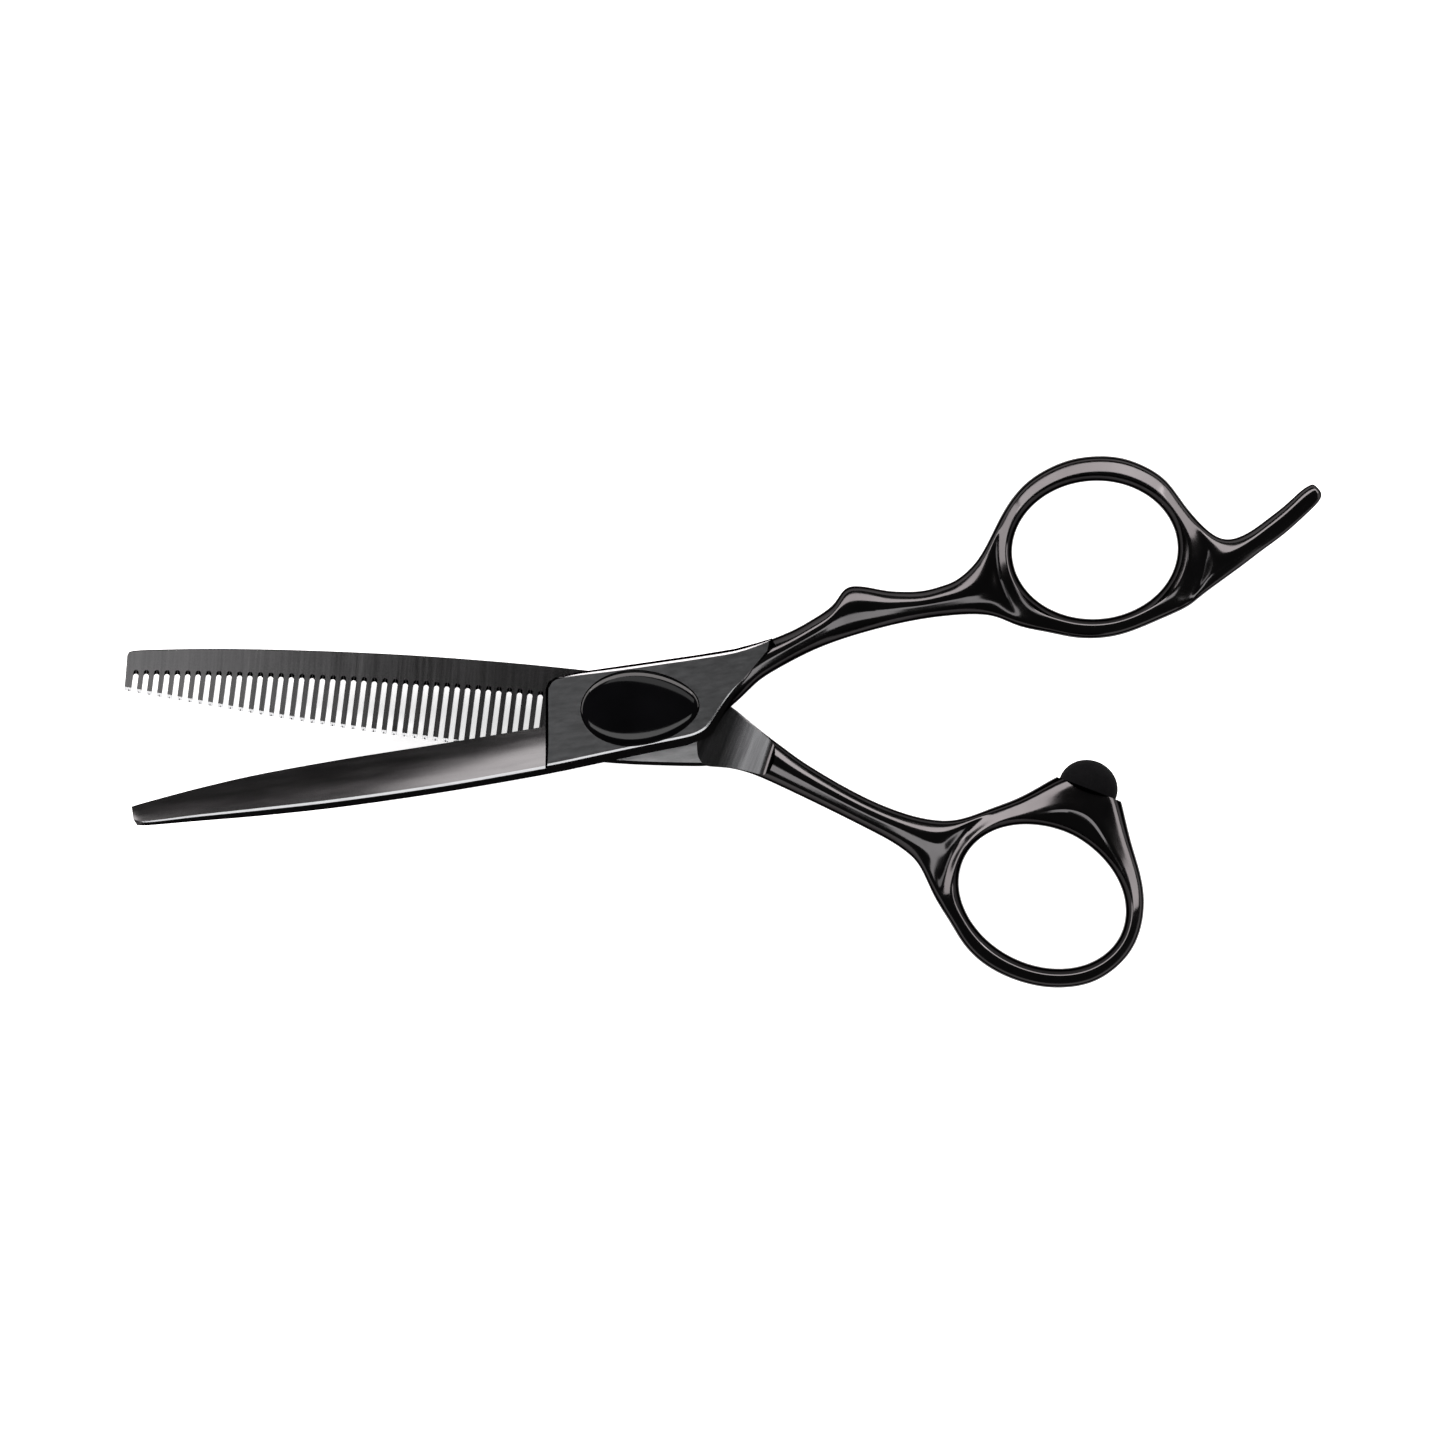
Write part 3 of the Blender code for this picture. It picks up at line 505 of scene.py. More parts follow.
# Sections of the tang and the shanks, by the number of ring stations that they join.
SHANK_ROWS = {4: [(0.04, 0.62), (0.34, 0.98), (0.64, 0.98), (0.94, 0.6)],
              5: [(0.03, 0.62), (0.32, 0.97), (0.52, 1.04), (0.76, 0.9), (0.96, 0.5)]}
RIDGE_CREASE = 0.5
FACET_CREASE = 0.35


def hole_point(hole, angle):
    """Point of a ring hole's edge in the direction angle from its centre."""
    cx, cy, long_axis, short_axis, tilt = hole
    local = math.radians(angle - tilt)
    radius = long_axis * short_axis / math.hypot(short_axis * math.cos(local), long_axis * math.sin(local))
    return cx + radius * math.cos(math.radians(angle)), cy + radius * math.sin(math.radians(angle))


def strip_section(station, rows):
    """Closed section across a shank, over its top and back along its underside."""
    ux, uy, lx, ly, mid, half = station
    section = [(ux, uy, mid)]
    for share, rise in rows:
        section.append((ux + (lx - ux) * share, uy + (ly - uy) * share, mid + half * rise))
    section.append((lx, ly, mid))
    for share, rise in reversed(rows):
        section.append((ux + (lx - ux) * share, uy + (ly - uy) * share, mid - half * rise))
    return section


def handle(name, hole, outer, swell, shank, shank_start, tang=None, tang_start=None):
    """Ring, shank and tang as one smooth surface, subdivided from a coarse cage."""
    verts = []
    faces = []
    ridges = []
    outer_controls = spline_controls(
        [(hole[0] + outer[i] * math.cos(math.radians(i * RING_STEP)),
          hole[1] + outer[i] * math.sin(math.radians(i * RING_STEP))) for i in range(RING_STATIONS)], True)
    inner_controls = spline_controls([hole_point(hole, i * RING_STEP) for i in range(RING_STATIONS)], True)
    row_count = len(RING_ROWS)
    index = {}
    wedges = [(shank_start, 5)] + ([(tang_start, 4)] if tang else [])
    joined = {(start + k) % RING_STATIONS for start, span in wedges for k in range(1, span - 1)}
    for i in range(RING_STATIONS):
        ox, oy = outer_controls[i]
        nx, ny = inner_controls[i]
        for row, (share, rise) in enumerate(RING_ROWS):
            if row == 0 and i in joined:
                continue
            index[i, row] = len(verts)
            verts.append((ox + (nx - ox) * share, oy + (ny - oy) * share,
                          MID_Z + (RING_HALF + swell[i]) * rise))
    for i in range(RING_STATIONS):
        j = (i + 1) % RING_STATIONS
        inside = any((i - start) % RING_STATIONS < span - 1 for start, span in wedges)
        for row in range(row_count):
            following = (row + 1) % row_count
            if inside and (row == 0 or following == 0):
                continue
            faces.append((index[i, row], index[j, row], index[j, following], index[i, following]))
        ridges.append((index[i, 2], index[j, 2], RIDGE_CREASE))
        ridges.append((index[i, 1], index[j, 1], FACET_CREASE))

    def bridge(first, second):
        size = len(first)
        for k in range(size):
            faces.append((first[k], first[(k + 1) % size], second[(k + 1) % size], second[k]))
        ridges.append((first[3], second[3], RIDGE_CREASE))
        ridges.append((first[2], second[2], FACET_CREASE))
        ridges.append((first[4], second[4], FACET_CREASE))

    def attach(stations, start, span, reverse):
        ids = [(start + k) % RING_STATIONS for k in range(span)]
        if reverse:
            ids.reverse()
        loop = [index[ids[0], 0]] + [index[i, 1] for i in ids] + [index[ids[-1], 0]]
        loop += [index[i, row_count - 1] for i in reversed(ids)]
        upper = verts[loop[0]]
        lower = verts[loop[span + 1]]
        joint = (upper[0], upper[1], lower[0], lower[1], MID_Z, RING_HALF)
        controls = spline_controls(list(stations) + [joint], False)[:-1]
        previous = None
        for station in controls:
            section = strip_section(station, SHANK_ROWS[span])
            current = list(range(len(verts), len(verts) + len(section)))
            verts.extend(section)
            if previous:
                bridge(previous, current)
            else:
                faces.append(tuple(current))
            previous = current
        bridge(previous, loop)

    attach(shank, shank_start, 5, False)
    if tang:
        attach(list(reversed(tang)), tang_start, 4, True)
    obj = mesh_object(name, verts, faces, GLOSS)
    bm = bmesh.new()
    bm.from_mesh(obj.data)
    bm.verts.ensure_lookup_table()
    layer = bm.edges.layers.float.get("crease_edge") or bm.edges.layers.float.new("crease_edge")
    for a, b, amount in ridges:
        edge = bm.edges.get((bm.verts[a], bm.verts[b]))
        if edge:
            edge[layer] = amount
    bm.to_mesh(obj.data)
    bm.free()
    subdivision = obj.modifiers.new("smooth", "SUBSURF")
    subdivision.levels = SUBDIVISIONS
    subdivision.render_levels = SUBDIVISIONS
    return bake(obj)


# ---------------------------------------------------------------- ride faces and ramps

RAMP_LENGTH = 9.6
RAMP_RELIEF = 0.14
RAMP_RISE = 2.6
RAMP_HOLLOW = 1.3  # depth of the hollow part, before the steep end
RAMP_POWER = 20.0  # how sudden the steep end is
RAMP_STEPS = 32
RAMP_STEEP = 0.86  # share of the length where the steep end starts; from there the ramp takes the darker gloss coating, a glossier finish that also paints the shade in the crease at the ramp's end
FACE_REACH = 40.0
BELOW = -2.0       # a cutter's far side under the object
ABOVE = 10.0       # and over it
RAMP_HALF_WIDTH = 25.0
# Where each ride face ends, and the direction that its ramp runs in (degrees from +X).
FRONT_RAMP = ((15.6, 4.2), 25.0)
COMB_RAMP = ((11.2, -5.5), -17.5)


def ramp_cutter(start, direction, low_z, side, far_z, mat, with_face=True):
    """Clears the ride face up to start, then a hollow ramp; with_face=False clears the ramp alone."""
    profile = [(-FACE_REACH, far_z), (-FACE_REACH, low_z), (0.0, low_z)] if with_face else [(0.0, far_z)]
    for i in range(RAMP_STEPS + 1):
        share = math.sin(math.radians(90.0 * i / RAMP_STEPS))
        rise = RAMP_HOLLOW * share ** 2 + (RAMP_RISE - RAMP_HOLLOW) * share ** RAMP_POWER
        profile.append((share * RAMP_LENGTH, low_z + side * (rise - RAMP_RELIEF)))
    profile.append((RAMP_LENGTH, far_z))
    angle = math.radians(direction)
    along = Vector((math.cos(angle), math.sin(angle), 0.0))
    across = Vector((-along.y, along.x, 0.0))
    origin = Vector((start[0], start[1], 0.0))
    sections = []
    for offset in (-RAMP_HALF_WIDTH, RAMP_HALF_WIDTH):
        sections.append([tuple(origin + along * s + across * offset + Vector((0.0, 0.0, z)))
                         for s, z in profile])
    # The steep end takes the darker gloss coating: a glossier finish, and painted shade in the crease where
    # the ramp meets the shank.
    steep = [1 if s > RAMP_LENGTH * RAMP_STEEP else 0 for s, z in profile]
    cutter = lofted("ramp_cut", sections, mat, steep)
    cutter.data.materials.append(GLOSS)
    return cutter


# ---------------------------------------------------------------- front half

# Stations along the blade: edge x, y, ridge x, y, spine x, y, height of the ridge over the ride face.
BLADE = [
    (-68.5, -13.4, -68.2, -15.2, -67.7, -16.0, 0.8), (-66.5, -12.8, -66.3, -15.4, -66.0, -16.0, 0.9),
    (-59.0, -10.8, -59.0, -14.5, -59.0, -15.4, 1.15), (-50.7, -8.9, -50.7, -13.6, -50.7, -14.7, 1.4),
    (-39.6, -6.9, -39.6, -12.3, -39.6, -13.5, 1.7), (-25.7, -4.7, -25.7, -10.3, -25.7, -11.5, 2.1),
    (-12.4, -2.5, -12.0, -7.9, -11.8, -9.1, 2.45), (-7.0, -1.6, -6.5, -6.9, -6.3, -7.9, 2.55)]
BLOCK = [
    (-11.0, -8.9), (-11.0, 2.8), (-10.6, 3.9), (-9.6, 4.5), (-6.2, 5.3), (-0.7, 6.1), (4.9, 6.9), (10.4, 7.7),
    (15.3, 8.5), (18.6, 9.4), (20.4, 9.95), (20.0, 8.1), (17.9, 5.6), (15.6, 2.8), (13.0, -1.6), (12.3, -3.2),
    (11.2, -3.95), (8.6, -4.9), (3.1, -6.0), (-3.1, -7.3), (-8.7, -8.5)]
LAND = 0.3  # share of the way from ridge to spine that the land takes
LAND_SLOPE = 0.27
BEVEL_SLOPE = 0.78
EDGE_HEIGHT = 0.1   # thickness at the cutting edge
BLADE_HOLLOW = 0.07  # depth of the flank's hollow as a share of the ridge's height
FLANK_STEPS = 11
# Paths of the edge mouldings: x, y, share of the full profile.
TOP_EDGE = [(-9.9, 4.35, 0.15), (-8.5, 4.75, 0.5), (-6.2, 5.3, 0.8), (-0.7, 6.1, 1.0), (4.9, 6.9, 1.0),
            (10.4, 7.7, 1.0), (15.3, 8.5, 0.95), (19.0, 9.5, 0.6), (21.6, 10.5, 0.25), (24.0, 11.6, 0.1)]
LOW_EDGE = [(-13.0, -9.3, 1.0), (-8.7, -8.5, 1.0), (-3.1, -7.3, 1.0), (3.1, -6.0, 1.0), (8.6, -4.9, 1.0),
            (10.6, -4.25, 1.0), (11.9, -3.45, 1.0), (12.8, -2.2, 0.9), (14.2, 0.4, 0.7), (15.6, 2.8, 0.4),
            (17.2, 4.8, 0.1)]
LEFT_EDGE = [
    (-11.0, -8.4, 0.6), (-11.0, -5.0, 1.0), (-11.0, -1.0, 1.0), (-11.0, 2.6, 1.0), (-10.75, 3.5, 1.0),
    (-10.1, 4.25, 0.8), (-9.0, 4.7, 0.3)]
RAMP_EDGE = [(12.6, 2.1, 1.0), (13.9, 1.1, 1.0), (16.7, -1.0, 1.0), (19.4, -3.2, 0.8), (20.6, -4.1, 0.2)]
CAP_CENTRE = (2.1, 0.3)
CAP_TILT = math.radians(3.0)
CAP_HALF_LENGTH = 8.1
CAP_HALF_WIDTH = 5.1
CAP_TAPER = (0.13, 0.06)


def egg(grow, count):
    """Outline of the cap, grown outwards."""
    points = []
    for i in range(count):
        angle = math.tau * i / count
        x = (CAP_HALF_LENGTH + grow) * math.cos(angle)
        taper = 1.0 - CAP_TAPER[0] * math.cos(angle) - CAP_TAPER[1] * math.cos(angle) ** 2
        y = (CAP_HALF_WIDTH * taper + grow) * math.sin(angle)
        points.append((CAP_CENTRE[0] + x * math.cos(CAP_TILT) - y * math.sin(CAP_TILT),
                       CAP_CENTRE[1] + x * math.sin(CAP_TILT) + y * math.cos(CAP_TILT)))
    return points


def edge_cutter(name, path, profile, outside, base=FACE_Z, first_mat=1):
    """Moulding cutter along (x, y, size) points; profile is (distance outwards, height over base)."""
    rows = dense(path, 3)
    points = [Vector((x, y, 0.0)) for x, y, size in rows]
    sections = []
    for i, here in enumerate(points):
        along = (points[min(i + 1, len(points) - 1)] - points[max(i - 1, 0)]).normalized()
        out = Vector((-along.y, along.x, 0.0)) * outside
        size = rows[i][2]
        sections.append([tuple(here + out * distance * (size if distance < 0.0 else 1.0)
                               + Vector((0.0, 0.0, base + rise * (size if rise < 0.0 else 1.0))))
                         for distance, rise in profile])
    # The first facet takes material first_mat: 1 is the brighter edge coating, a painted highlight along the
    # bevel, and 0 the plain gloss coating.
    cutter = lofted(name, sections, GLOSS, [first_mat] + [0] * (len(profile) - 1))
    cutter.data.materials.append(EDGE_WITH_PAINTED_HIGHLIGHT)
    return cutter


# Bores on the pivot axis: name, radius, from height, to height.
FRONT_BORES = [("bore", 3.35, 2.0, 9.0), ("flange", 4.15, 5.75, 9.0), ("washer", 5.0, 2.0, 4.5)]
BORE_SEGMENTS = 64


def solid_blade():
    """Hollow-ground flank from edge to ridge, a narrow land, then the bevel down to the spine."""
    low = FRONT_RIDE_Z
    sections = []
    for ex, ey, rx, ry, sx, sy, rise in dense(BLADE, 6):
        width = math.hypot(sx - rx, sy - ry)
        section = [(ex, ey, low), (ex, ey, low + EDGE_HEIGHT)]
        for k in range(1, FLANK_STEPS):
            t = k / FLANK_STEPS
            hollow = math.sin(math.pi * t) * -BLADE_HOLLOW * rise
            section.append((ex + (rx - ex) * t, ey + (ry - ey) * t,
                            low + EDGE_HEIGHT + (rise - EDGE_HEIGHT) * t + hollow))
        section.append((rx, ry, low + rise))
        drop = LAND_SLOPE * LAND * width
        section.append((rx + (sx - rx) * LAND, ry + (sy - ry) * LAND, low + rise - drop))
        section.append((sx, sy, low + rise - drop - BEVEL_SLOPE * (1.0 - LAND) * width))
        section.append((sx, sy, low))
        sections.append(section)
    # The land from the ridge towards the spine takes the brighter edge coating: a polished finish with a
    # painted highlight along the ridge line.
    blade = lofted("blade", sections, GLOSS, [0] + [1] * FLANK_STEPS + [2] + [0] * 3)
    blade.data.materials.append(FLANK)
    blade.data.materials.append(EDGE_WITH_PAINTED_HIGHLIGHT)
    return blade


def front_half():
    body = handle("front", FINGER_HOLE, FINGER_OUTER, FINGER_SWELL, FRONT_SHANK, 11, TANG, 22)
    edge = [(0.0, FRONT_RIDE_Z), (0.0, FACE_Z - 0.3), (0.06, FACE_Z - 0.14), (0.16, FACE_Z - 0.04),
            (0.3, FACE_Z)]
    boolean(body, stacked("block", BLOCK, edge, GLOSS, SATIN), "UNION")
    boolean(body, solid_blade(), "UNION")
    boolean(body, ramp_cutter(*FRONT_RAMP, FRONT_RIDE_Z, -1.0, BELOW, SATIN), "DIFFERENCE")
    top = [(-0.64, 0.03), (-0.34, -0.17), (0.4, -2.2), (1.2, -2.2), (1.2, 1.5), (-0.64, 1.5)]
    boolean(body, edge_cutter("top_edge", TOP_EDGE, top, 1.0), "DIFFERENCE")
    low = [(-1.5, 0.03), (-1.12, -0.08), (0.4, -1.3), (0.5, 1.5), (-1.5, 1.5)]
    boolean(body, edge_cutter("low_edge", LOW_EDGE, low, -1.0), "DIFFERENCE")
    left = [(-0.42, 0.02), (0.01, -1.5), (0.02, 1.5), (-0.42, 1.5)]
    # The left bevel keeps the plain gloss coating, with no painted highlight.
    boolean(body, edge_cutter("left_edge", LEFT_EDGE, left, 1.0, FACE_Z, 0), "DIFFERENCE")
    rim = [(0.0, 6.4), (0.0, FACE_Z - 0.1), (-0.12, FACE_Z), (-0.12, 12.0)]
    boolean(body, stacked("recess", egg(0.05, 96), rim, GLOSS), "DIFFERENCE")
    for name, radius, low_z, high_z in FRONT_BORES:
        boolean(body, disc(name, radius, low_z, high_z, BORE_SEGMENTS, STEEL), "DIFFERENCE")
    smooth(body)
    place(body, "front_half_body", "front", "coated_front", "front_half")


# ---------------------------------------------------------------- comb half

# The comb's spine and its row of tooth tips, and the height of the back under each point.
SPINE = [(-69.1, 7.6), (-68.4, 8.2), (-64.5, 8.4), (-56.2, 8.5), (-45.1, 8.3), (-31.2, 7.7), (-17.4, 6.7),
         (-6.2, 5.6), (-0.7, 4.9), (4.9, 4.0), (10.4, 2.7), (13.9, 1.1)]
TIPS = [(-69.5, 2.7), (-69.3, 2.7), (-66.1, 2.1), (-57.6, 0.6), (-45.0, -1.55), (-31.9, -3.5), (-17.4, -5.4),
        (-6.2, -6.9), (-0.7, -7.45), (4.9, -7.7), (10.4, -7.8), (12.1, -7.6)]
SPINE_BACK = [2.6, 2.55, 2.45, 2.3, 2.1, 1.8, 1.4, 1.1, 1.1, 1.1, 1.1, 1.1]
TOOTH_BACK = [3.3, 3.3, 3.25, 3.2, 3.1, 2.9, 2.4, 1.6, 1.1, 1.1, 1.1, 1.1]
SLOTS = 40
SLOT_HALF = 0.365
SLOT_REACH = 12.0    # length of a slot's cutter, past the tips
NOTCH_OFFSET = 0.72  # from the middle of a slot to the middle of the tooth beside it
LEAN = math.radians(7.2)
DOWN = Vector((-math.sin(LEAN), -math.cos(LEAN), 0.0))
SIDE = Vector((math.cos(LEAN), -math.sin(LEAN), 0.0))
RICASSO_X = -4.5     # right of here the face is lapped, and its chamfer on the tips' side is glossy
DEEP_EDGE_X = -5.0   # right of here that chamfer drops further under the ride face
COMB_BORES = [("bore", 2.3, 0.0, 6.0), ("housing", 4.8, 0.0, 2.95), ("washer", 5.0, 3.88, 6.0)]


def comb_plate():
    """The toothed blade without its slots, up to the ramp."""
    sections = []
    rows = [(*s, *t, b, c) for s, t, b, c in zip(SPINE, TIPS, SPINE_BACK, TOOTH_BACK)]
    for sx, sy, tx, ty, back, tooth in dense(rows, 5):
        tx = max(tx, TIPS[0][0])
        sx = max(sx, SPINE[0][0])

        def across(share, z):
            return sx + (tx - sx) * share, sy + (ty - sy) * share, z
        drop = 0.15 if tx < DEEP_EDGE_X else 0.35
        sections.append([across(0.0, RIDE_Z - 0.12), across(0.0, back + 0.5), across(0.3, back),
                         across(1.0, tooth), across(1.0, RIDE_Z - drop),
                         across(1.0 - 0.5 / (sy - ty), RIDE_Z), across(0.12 / (sy - ty), RIDE_Z)])
    plate = lofted("plate", sections, COMB_GRAIN, [1, 1, 1, 1, 2, 0, 1])
    plate.data.materials.append(GLOSS)
    plate.data.materials.append(RIDE)
    for polygon in plate.data.polygons:
        if polygon.center.x > RICASSO_X * MM:
            polygon.material_index = (2, 1, 1)[polygon.material_index]
    cutter = ramp_cutter(*COMB_RAMP, RIDE_Z - 0.02, 1.0, ABOVE, RAMP_GRAIN, False)
    boolean(plate, cutter, "DIFFERENCE")
    return plate


def slot_top(n):
    """Top of slot n, on a slightly bowed line."""
    share = n / (SLOTS - 1)
    return Vector((-67.8 + 56.15 * share, 5.7 - 2.9 * share + 2.7 * share * (1.0 - share), 0.0))


def tip_y(x):
    xs = [p[0] for p in TIPS]
    ys = [p[1] for p in TIPS]
    return float(np.interp(x, xs, ys))


def extruded_set(name, outlines, levels, mat):
    """Prisms on the outlines in one mesh; levels are (z, how far the outline has moved along DOWN)."""
    verts = []
    faces = []
    for outline in outlines:
        base = len(verts)
        count = len(outline)
        for z, drift in levels:
            verts.extend([(p.x + DOWN.x * drift, p.y + DOWN.y * drift, z) for p in outline])
        for k in range(len(levels) - 1):
            low = base + k * count
            for i in range(count):
                j = (i + 1) % count
                faces.append((low + i, low + j, low + count + j, low + count + i))
        faces.append(tuple(range(base, base + count)))
        faces.append(tuple(range(len(verts) - count, len(verts)))[::-1])
    return mesh_object(name, verts, faces, mat)


def slots():
    outlines = []
    for n in range(SLOTS):
        top = slot_top(n)
        outline = []
        for i in range(13):
            angle = math.pi * i / 12.0
            outline.append(top + DOWN * (SLOT_HALF - SLOT_HALF * math.sin(angle))
                           + SIDE * (SLOT_HALF * math.cos(angle)))
        outline.append(top + DOWN * SLOT_REACH - SIDE * SLOT_HALF)
        outline.append(top + DOWN * SLOT_REACH + SIDE * SLOT_HALF)
        outlines.append(outline)
    return extruded_set("slots", outlines, [(0.5, 0.55), (RIDE_Z - 0.7, 0.7), (RIDE_Z + 0.4, -0.2)], GLOSS)


def notches():
    """The small V in each tooth's tip."""
    outlines = []
    for n in range(SLOTS):
        middle = slot_top(n) - SIDE * NOTCH_OFFSET
        length = (middle.y - tip_y(middle.x + (tip_y(middle.x) - middle.y) * math.tan(LEAN))) / math.cos(LEAN)
        tip = middle + DOWN * length
        outlines.append([tip - DOWN * 0.32, tip + DOWN * 0.4 - SIDE * 0.26, tip + DOWN * 0.4 + SIDE * 0.26])
    return extruded_set("notches", outlines, [(RIDE_Z - 0.8, 0.0), (RIDE_Z + 1.0, 0.0)], GLOSS)


BOSS_LEFT = (59.7, -9.2)
BOSS_RIGHT = (69.1, -12.8)
STEM_PLACE = 0.48  # share of the way along the boss where the bumper's stem stands


def boss_matrix():
    """Frame on the thumb ring's flat boss, with its Z axis out of the flat."""
    left = Vector((*BOSS_LEFT, MID_Z))
    right = Vector((*BOSS_RIGHT, MID_Z))
    along = (right - left).normalized()
    normal = Vector((-along.y, along.x, 0.0))
    rotation = Matrix((along, Vector((0.0, 0.0, -1.0)), normal)).transposed().to_4x4()
    return Matrix.Translation((left + (right - left) * STEM_PLACE) * MM) @ rotation


def comb_half():
    body = handle("comb", THUMB_HOLE, THUMB_OUTER, THUMB_SWELL, COMB_SHANK, 8)
    boolean(body, ramp_cutter(*COMB_RAMP, RIDE_Z, 1.0, ABOVE, RAMP_GRAIN), "DIFFERENCE")
    boolean(body, comb_plate(), "UNION")
    ramp_edge = [(-0.3, 0.05), (0.05, -0.24), (0.5, -1.2), (0.6, 1.5), (-0.3, 1.5)]
    boolean(body, edge_cutter("ramp_edge", RAMP_EDGE, ramp_edge, 1.0, RIDE_Z), "DIFFERENCE")
    boolean(body, slots(), "DIFFERENCE")
    boolean(body, notches(), "DIFFERENCE")
    for name, radius, low_z, high_z in COMB_BORES:
        boolean(body, disc(name, radius, low_z, high_z, BORE_SEGMENTS, STEEL), "DIFFERENCE")
    flat = stacked("flat", [(-9.0, -6.0), (9.0, -6.0), (9.0, 6.0), (-9.0, 6.0)],
                   [(0.0, 0.0), (0.0, 6.0)], GLOSS)
    flat.matrix_world = boss_matrix()
    boolean(body, flat, "DIFFERENCE")
    hole = disc("stem_hole", 1.55, -2.8, 1.0, 48, GLOSS)
    hole.matrix_world = boss_matrix()
    boolean(body, hole, "DIFFERENCE")
    smooth(body)
    place(body, "comb_half_body", "comb", "coated_comb", "comb_half")


# ---------------------------------------------------------------- small pieces

BUMPER_RADIUS = 4.15
BUMPER_BASE = 0.2
BUMPER_DOME = 3.8
CAP_LOW_Z = 6.45
CAP_STEPS = 36
# The dome: (height, power of the share of the outline), the second one for the tight roll at the rim.
CAP_DOME = ((0.74, 2.4), (0.26, 14.0))
BALLS = 10
BALL_CIRCLE = 3.55
BALL_RADIUS = 0.4
BALL_Z = 2.105
POCKET_RADIUS = 0.44
SPANNER_OFFSET = 3.2
SPANNER_RADIUS = 0.6
SPANNER_DEPTH = 0.7


def bumper():
    profile = [(0.0, -2.6), (1.35, -2.6), (1.5, -2.45), (1.5, 0.0), (4.1, 0.0), (BUMPER_RADIUS, 0.05)]
    for i in range(25):
        angle = math.radians(90.0 * i / 24.0)
        profile.append((BUMPER_RADIUS * math.cos(angle), BUMPER_BASE + BUMPER_DOME * math.sin(angle)))
    obj = turned("bumper", profile, TURNED_SEGMENTS, RUBBER)
    obj.data.transform(boss_matrix())
    smooth(obj, 40.0)
    place(obj, "rubber_stop", "comb", "rubber_black", "rubber_bumper")


def cap():
    outline = egg(0.0, 128)
    sections = [[(x, y, CAP_LOW_Z) for x, y in outline], [(x, y, FACE_Z) for x, y in outline]]
    for i in range(1, CAP_STEPS):
        share = math.cos(math.radians(90.0 * i / CAP_STEPS))
        z = FACE_Z + sum(height * (1.0 - share ** power) for height, power in CAP_DOME)
        sections.append([(CAP_CENTRE[0] + (x - CAP_CENTRE[0]) * share,
                          CAP_CENTRE[1] + (y - CAP_CENTRE[1]) * share, z) for x, y in outline])
    obj = lofted("cap", sections, CAP)
    smooth(obj, 50.0)
    place(obj, "oval_cover", "front", "cap_gloss", "oval_cap")
    return obj


def ball_centres():
    turns = [math.tau * n / BALLS for n in range(BALLS)]
    return [Vector((BALL_CIRCLE * math.cos(turn), BALL_CIRCLE * math.sin(turn), 0.0)) for turn in turns]


def pivot_parts():
    profile = rounded([(0.0, 0.0), (5.0, 0.0), (5.0, 1.0), (2.25, 1.0), (2.25, 6.15), (0.0, 6.15)], 0.25)
    # One more ring inside the rounded rim keeps the shading of the flat head flat.
    profile.insert(1, (4.6, 0.0))
    screw = turned("screw", profile, TURNED_SEGMENTS, STEEL)
    for side in (-1.0, 1.0):
        centre = (side * SPANNER_OFFSET, 0.0)
        hole = disc("spanner_hole", SPANNER_RADIUS, -1.0, SPANNER_DEPTH, 32, STEEL, centre)
        boolean(screw, hole, "DIFFERENCE")
    smooth(screw)
    place(screw, "tension_screw_body", "screw", "steel_bright", "pivot_screw")
    profile = [(2.3, 4.52), (3.3, 4.52), (3.3, 5.8), (4.1, 5.8), (4.1, 6.35), (2.3, 6.35)]
    insert = turned("insert", rounded(profile, 0.12), TURNED_SEGMENTS, STEEL)
    smooth(insert)
    place(insert, "insert_body", "front", "steel_bright", "threaded_insert")
    rings = [("glide_ring", 2.35, 4.9, 3.93, 4.45, NYLON, "comb", "nylon_white", "glide_washer"),
             ("wave_ring", 2.4, 4.7, 1.04, 1.29, STEEL, "screw", "steel_bright", "wave_washer"),
             ("lower_race_ring", 2.4, 4.7, 1.33, 1.68, STEEL, "screw", "steel_bright", "lower_race"),
             ("upper_race_ring", 2.4, 4.7, 2.53, 2.88, STEEL, "comb", "steel_bright", "upper_race")]
    for name, r_in, r_out, low, high, mat, body, slot, node in rings:
        profile = rounded([(r_in, low), (r_out, low), (r_out, high), (r_in, high)], 0.08)
        ring = turned(name, profile, TURNED_SEGMENTS, mat)
        smooth(ring)
        place(ring, name, body, slot, node)
    cage = turned("cage", rounded([(2.7, 1.96), (4.4, 1.96), (4.4, 2.25), (2.7, 2.25)], 0.07), 120, BRONZE)
    pockets = []
    for centre in ball_centres():
        pockets.append([centre + Vector((math.cos(math.tau * i / 32), math.sin(math.tau * i / 32), 0.0))
                        * POCKET_RADIUS for i in range(32)])
    boolean(cage, extruded_set("pockets", pockets, [(1.0, 0.0), (3.5, 0.0)], BRONZE), "DIFFERENCE")
    smooth(cage)
    place(cage, "cage_ring", "cage", "cage_brass", "ball_cage")
    for n, centre in enumerate(ball_centres(), 1):
        profile = [(BALL_RADIUS * math.sin(math.pi * i / 24), -BALL_RADIUS * math.cos(math.pi * i / 24))
                   for i in range(25)]
        ball = turned("ball", profile, 40, STEEL)
        ball.data.transform(Matrix.Translation((centre + Vector((0.0, 0.0, BALL_Z))) * MM))
        smooth(ball, 60.0)
        place(ball, "ball_%02d" % n, "cage", "steel_bright", "bearing_ball_%02d" % n)


front_half()
comb_half()
COVER = cap()
bumper()
pivot_parts()
bpy.data.collections.remove(workshop)

# ---------------------------------------------------------------- floor, light, camera


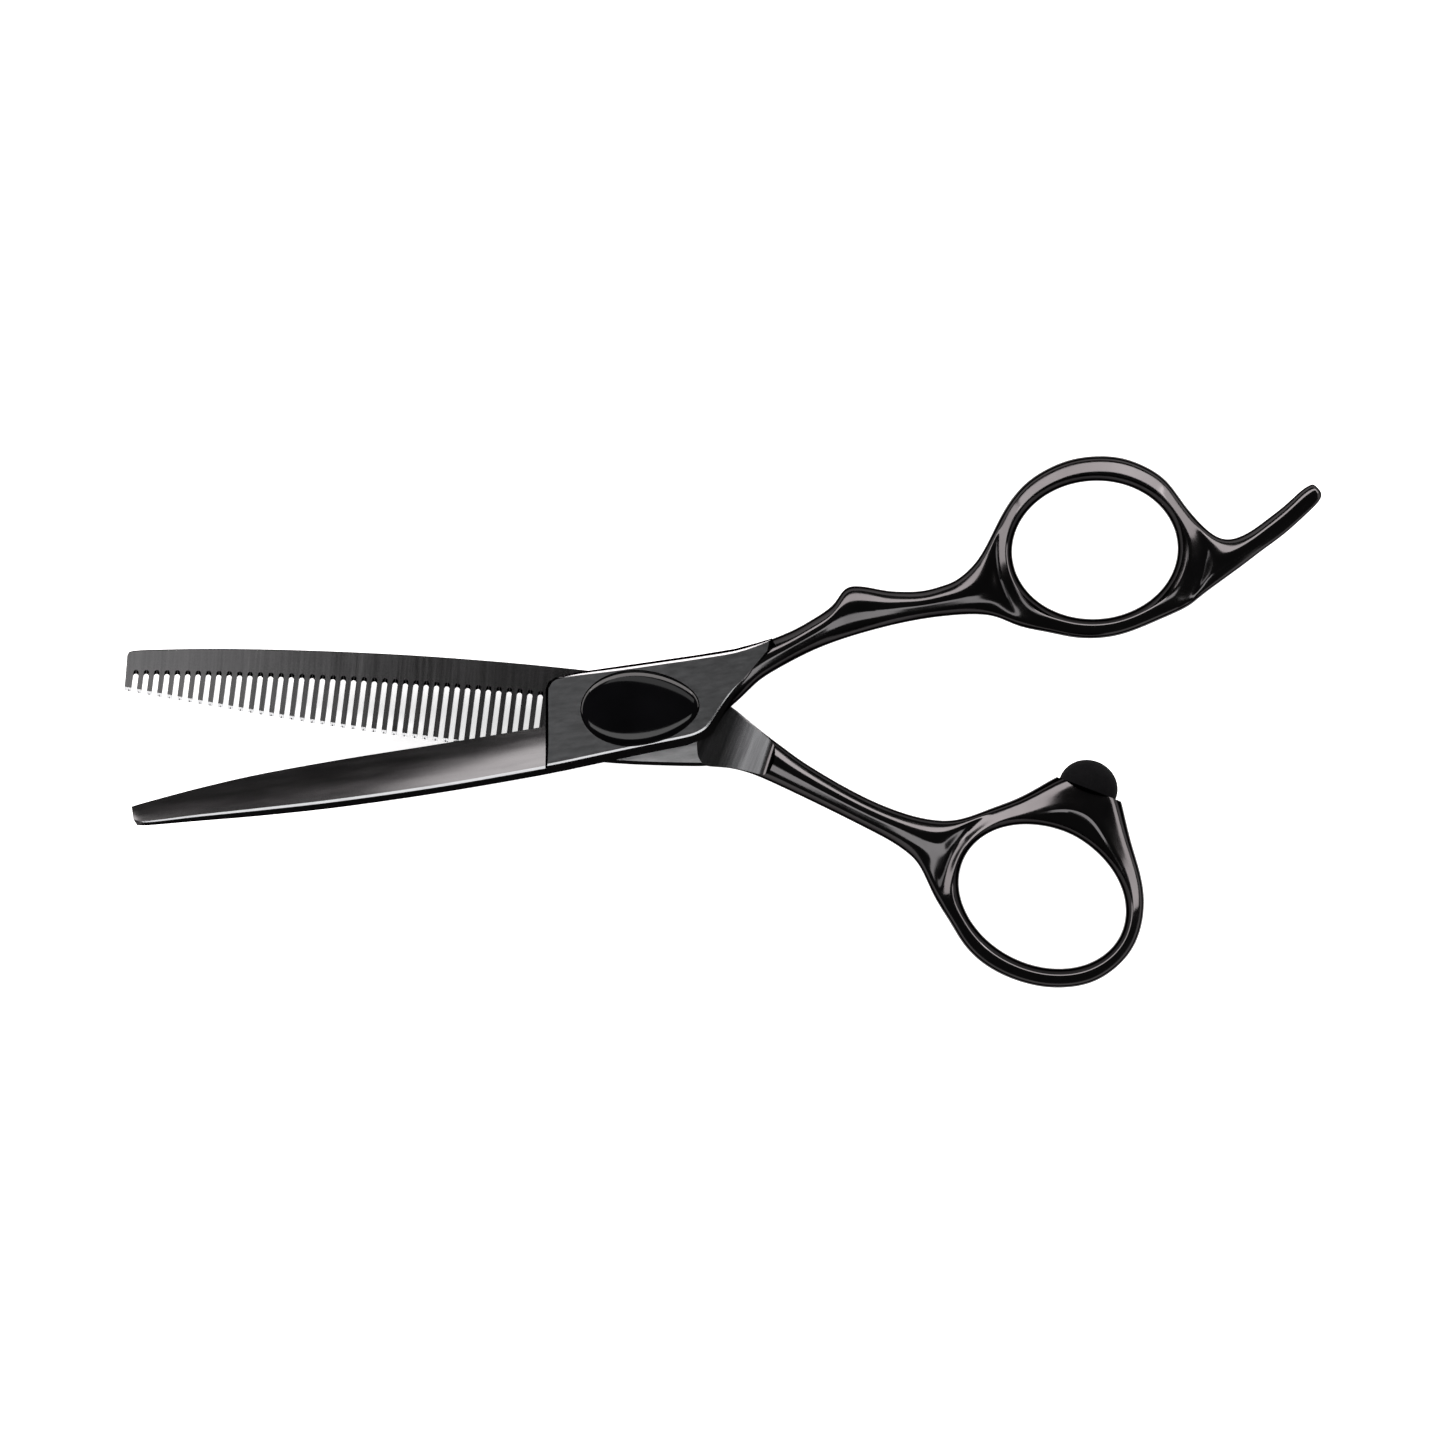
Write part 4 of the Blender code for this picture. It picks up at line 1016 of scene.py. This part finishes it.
# Metres from here on.
TARGET = (0.013, 0.0, 0.004)
WARM = (1.0, 0.95, 0.945)
FLOOR_HALF = 3.0
FLOOR_Z = -0.0003
CAMERA_DISTANCE = 1.6
SENSOR = 36.0
VIEW_WIDTH = 200.566 * MM
VIEW_CENTRE = (13.533 * MM, -1.735 * MM)


def floor():
    mesh = bpy.data.meshes.new("floor")
    corners = [(-FLOOR_HALF, -FLOOR_HALF, 0.0), (FLOOR_HALF, -FLOOR_HALF, 0.0),
               (FLOOR_HALF, FLOOR_HALF, 0.0), (-FLOOR_HALF, FLOOR_HALF, 0.0)]
    mesh.from_pydata(corners, [], [(0, 1, 2, 3)])
    n = Nodes("pale_floor")
    cloud = n.noise(3.0, 2.0)
    n.set(Base_Color=n.ramp(cloud, [(0.0, (0.5, 0.5, 0.5)), (1.0, (0.54, 0.54, 0.54))]))
    n.set(Roughness=0.9, Emission_Color=(1.0, 1.0, 1.0, 1.0), Emission_Strength=0.72)
    mesh.materials.append(n.mat)
    obj = bpy.data.objects.new("floor", mesh)
    obj.location.z = FLOOR_Z
    bpy.context.scene.collection.objects.link(obj)


def softbox(name, position, size, power, colour=(1.0, 1.0, 1.0)):
    light = bpy.data.lights.new(name, "AREA")
    light.shape = "RECTANGLE"
    light.size = size[0]
    light.size_y = size[1]
    light.energy = power
    light.color = colour
    obj = bpy.data.objects.new(name, light)
    obj.visible_camera = False
    obj.location = position
    obj.rotation_euler = (Vector(TARGET) - Vector(position)).to_track_quat("-Z", "Y").to_euler()
    bpy.context.scene.collection.objects.link(obj)
    return obj


def restrict(light, piece, state):
    """INCLUDE lets the light reach this piece alone, and EXCLUDE lets it reach all the others."""
    group = bpy.data.collections.new(light.name + "_receivers")
    group.objects.link(piece)
    group.collection_objects[0].light_linking.link_state = state
    light.light_linking.receiver_collection = group


def studio():
    world = bpy.data.worlds.new("studio")
    bpy.context.scene.world = world
    world.use_nodes = True
    background = world.node_tree.nodes["Background"]
    background.inputs["Color"].default_value = (1.0, 1.0, 1.0, 1.0)
    background.inputs["Strength"].default_value = 0.12
    softbox("key_far", (0.0, 0.83, 0.52), (1.9, 0.47), 42.0, WARM)
    softbox("left", (-0.95, 0.3, 0.36), (0.9, 0.36), 12.0, WARM)
    softbox("right", (0.95, 0.35, 0.36), (0.9, 0.36), 12.0, WARM)
    softbox("near", (0.0, -0.49, 0.83), (1.5, 0.24), 9.0)
    over_left = softbox("over_left", (-0.125, 0.0, 0.3), (0.14, 0.13), 0.26)
    restrict(over_left, COVER, "EXCLUDE")
    over_cap = softbox("over_cap", (0.2, 0.47, 0.83), (1.2, 0.26), 3.5)
    restrict(over_cap, COVER, "INCLUDE")


def camera():
    """Straight above, looking down."""
    data = bpy.data.cameras.new("camera")
    data.type = "PERSP"
    data.sensor_width = SENSOR
    data.lens = SENSOR * CAMERA_DISTANCE / VIEW_WIDTH
    data.clip_start = 0.01
    data.clip_end = 20.0
    obj = bpy.data.objects.new("camera", data)
    obj.location = (*VIEW_CENTRE, MID_Z * MM + CAMERA_DISTANCE)
    bpy.context.scene.collection.objects.link(obj)
    bpy.context.scene.camera = obj


floor()
studio()
camera()
bpy.context.scene.view_settings.view_transform = "Standard"

bpy.context.view_layer.update()
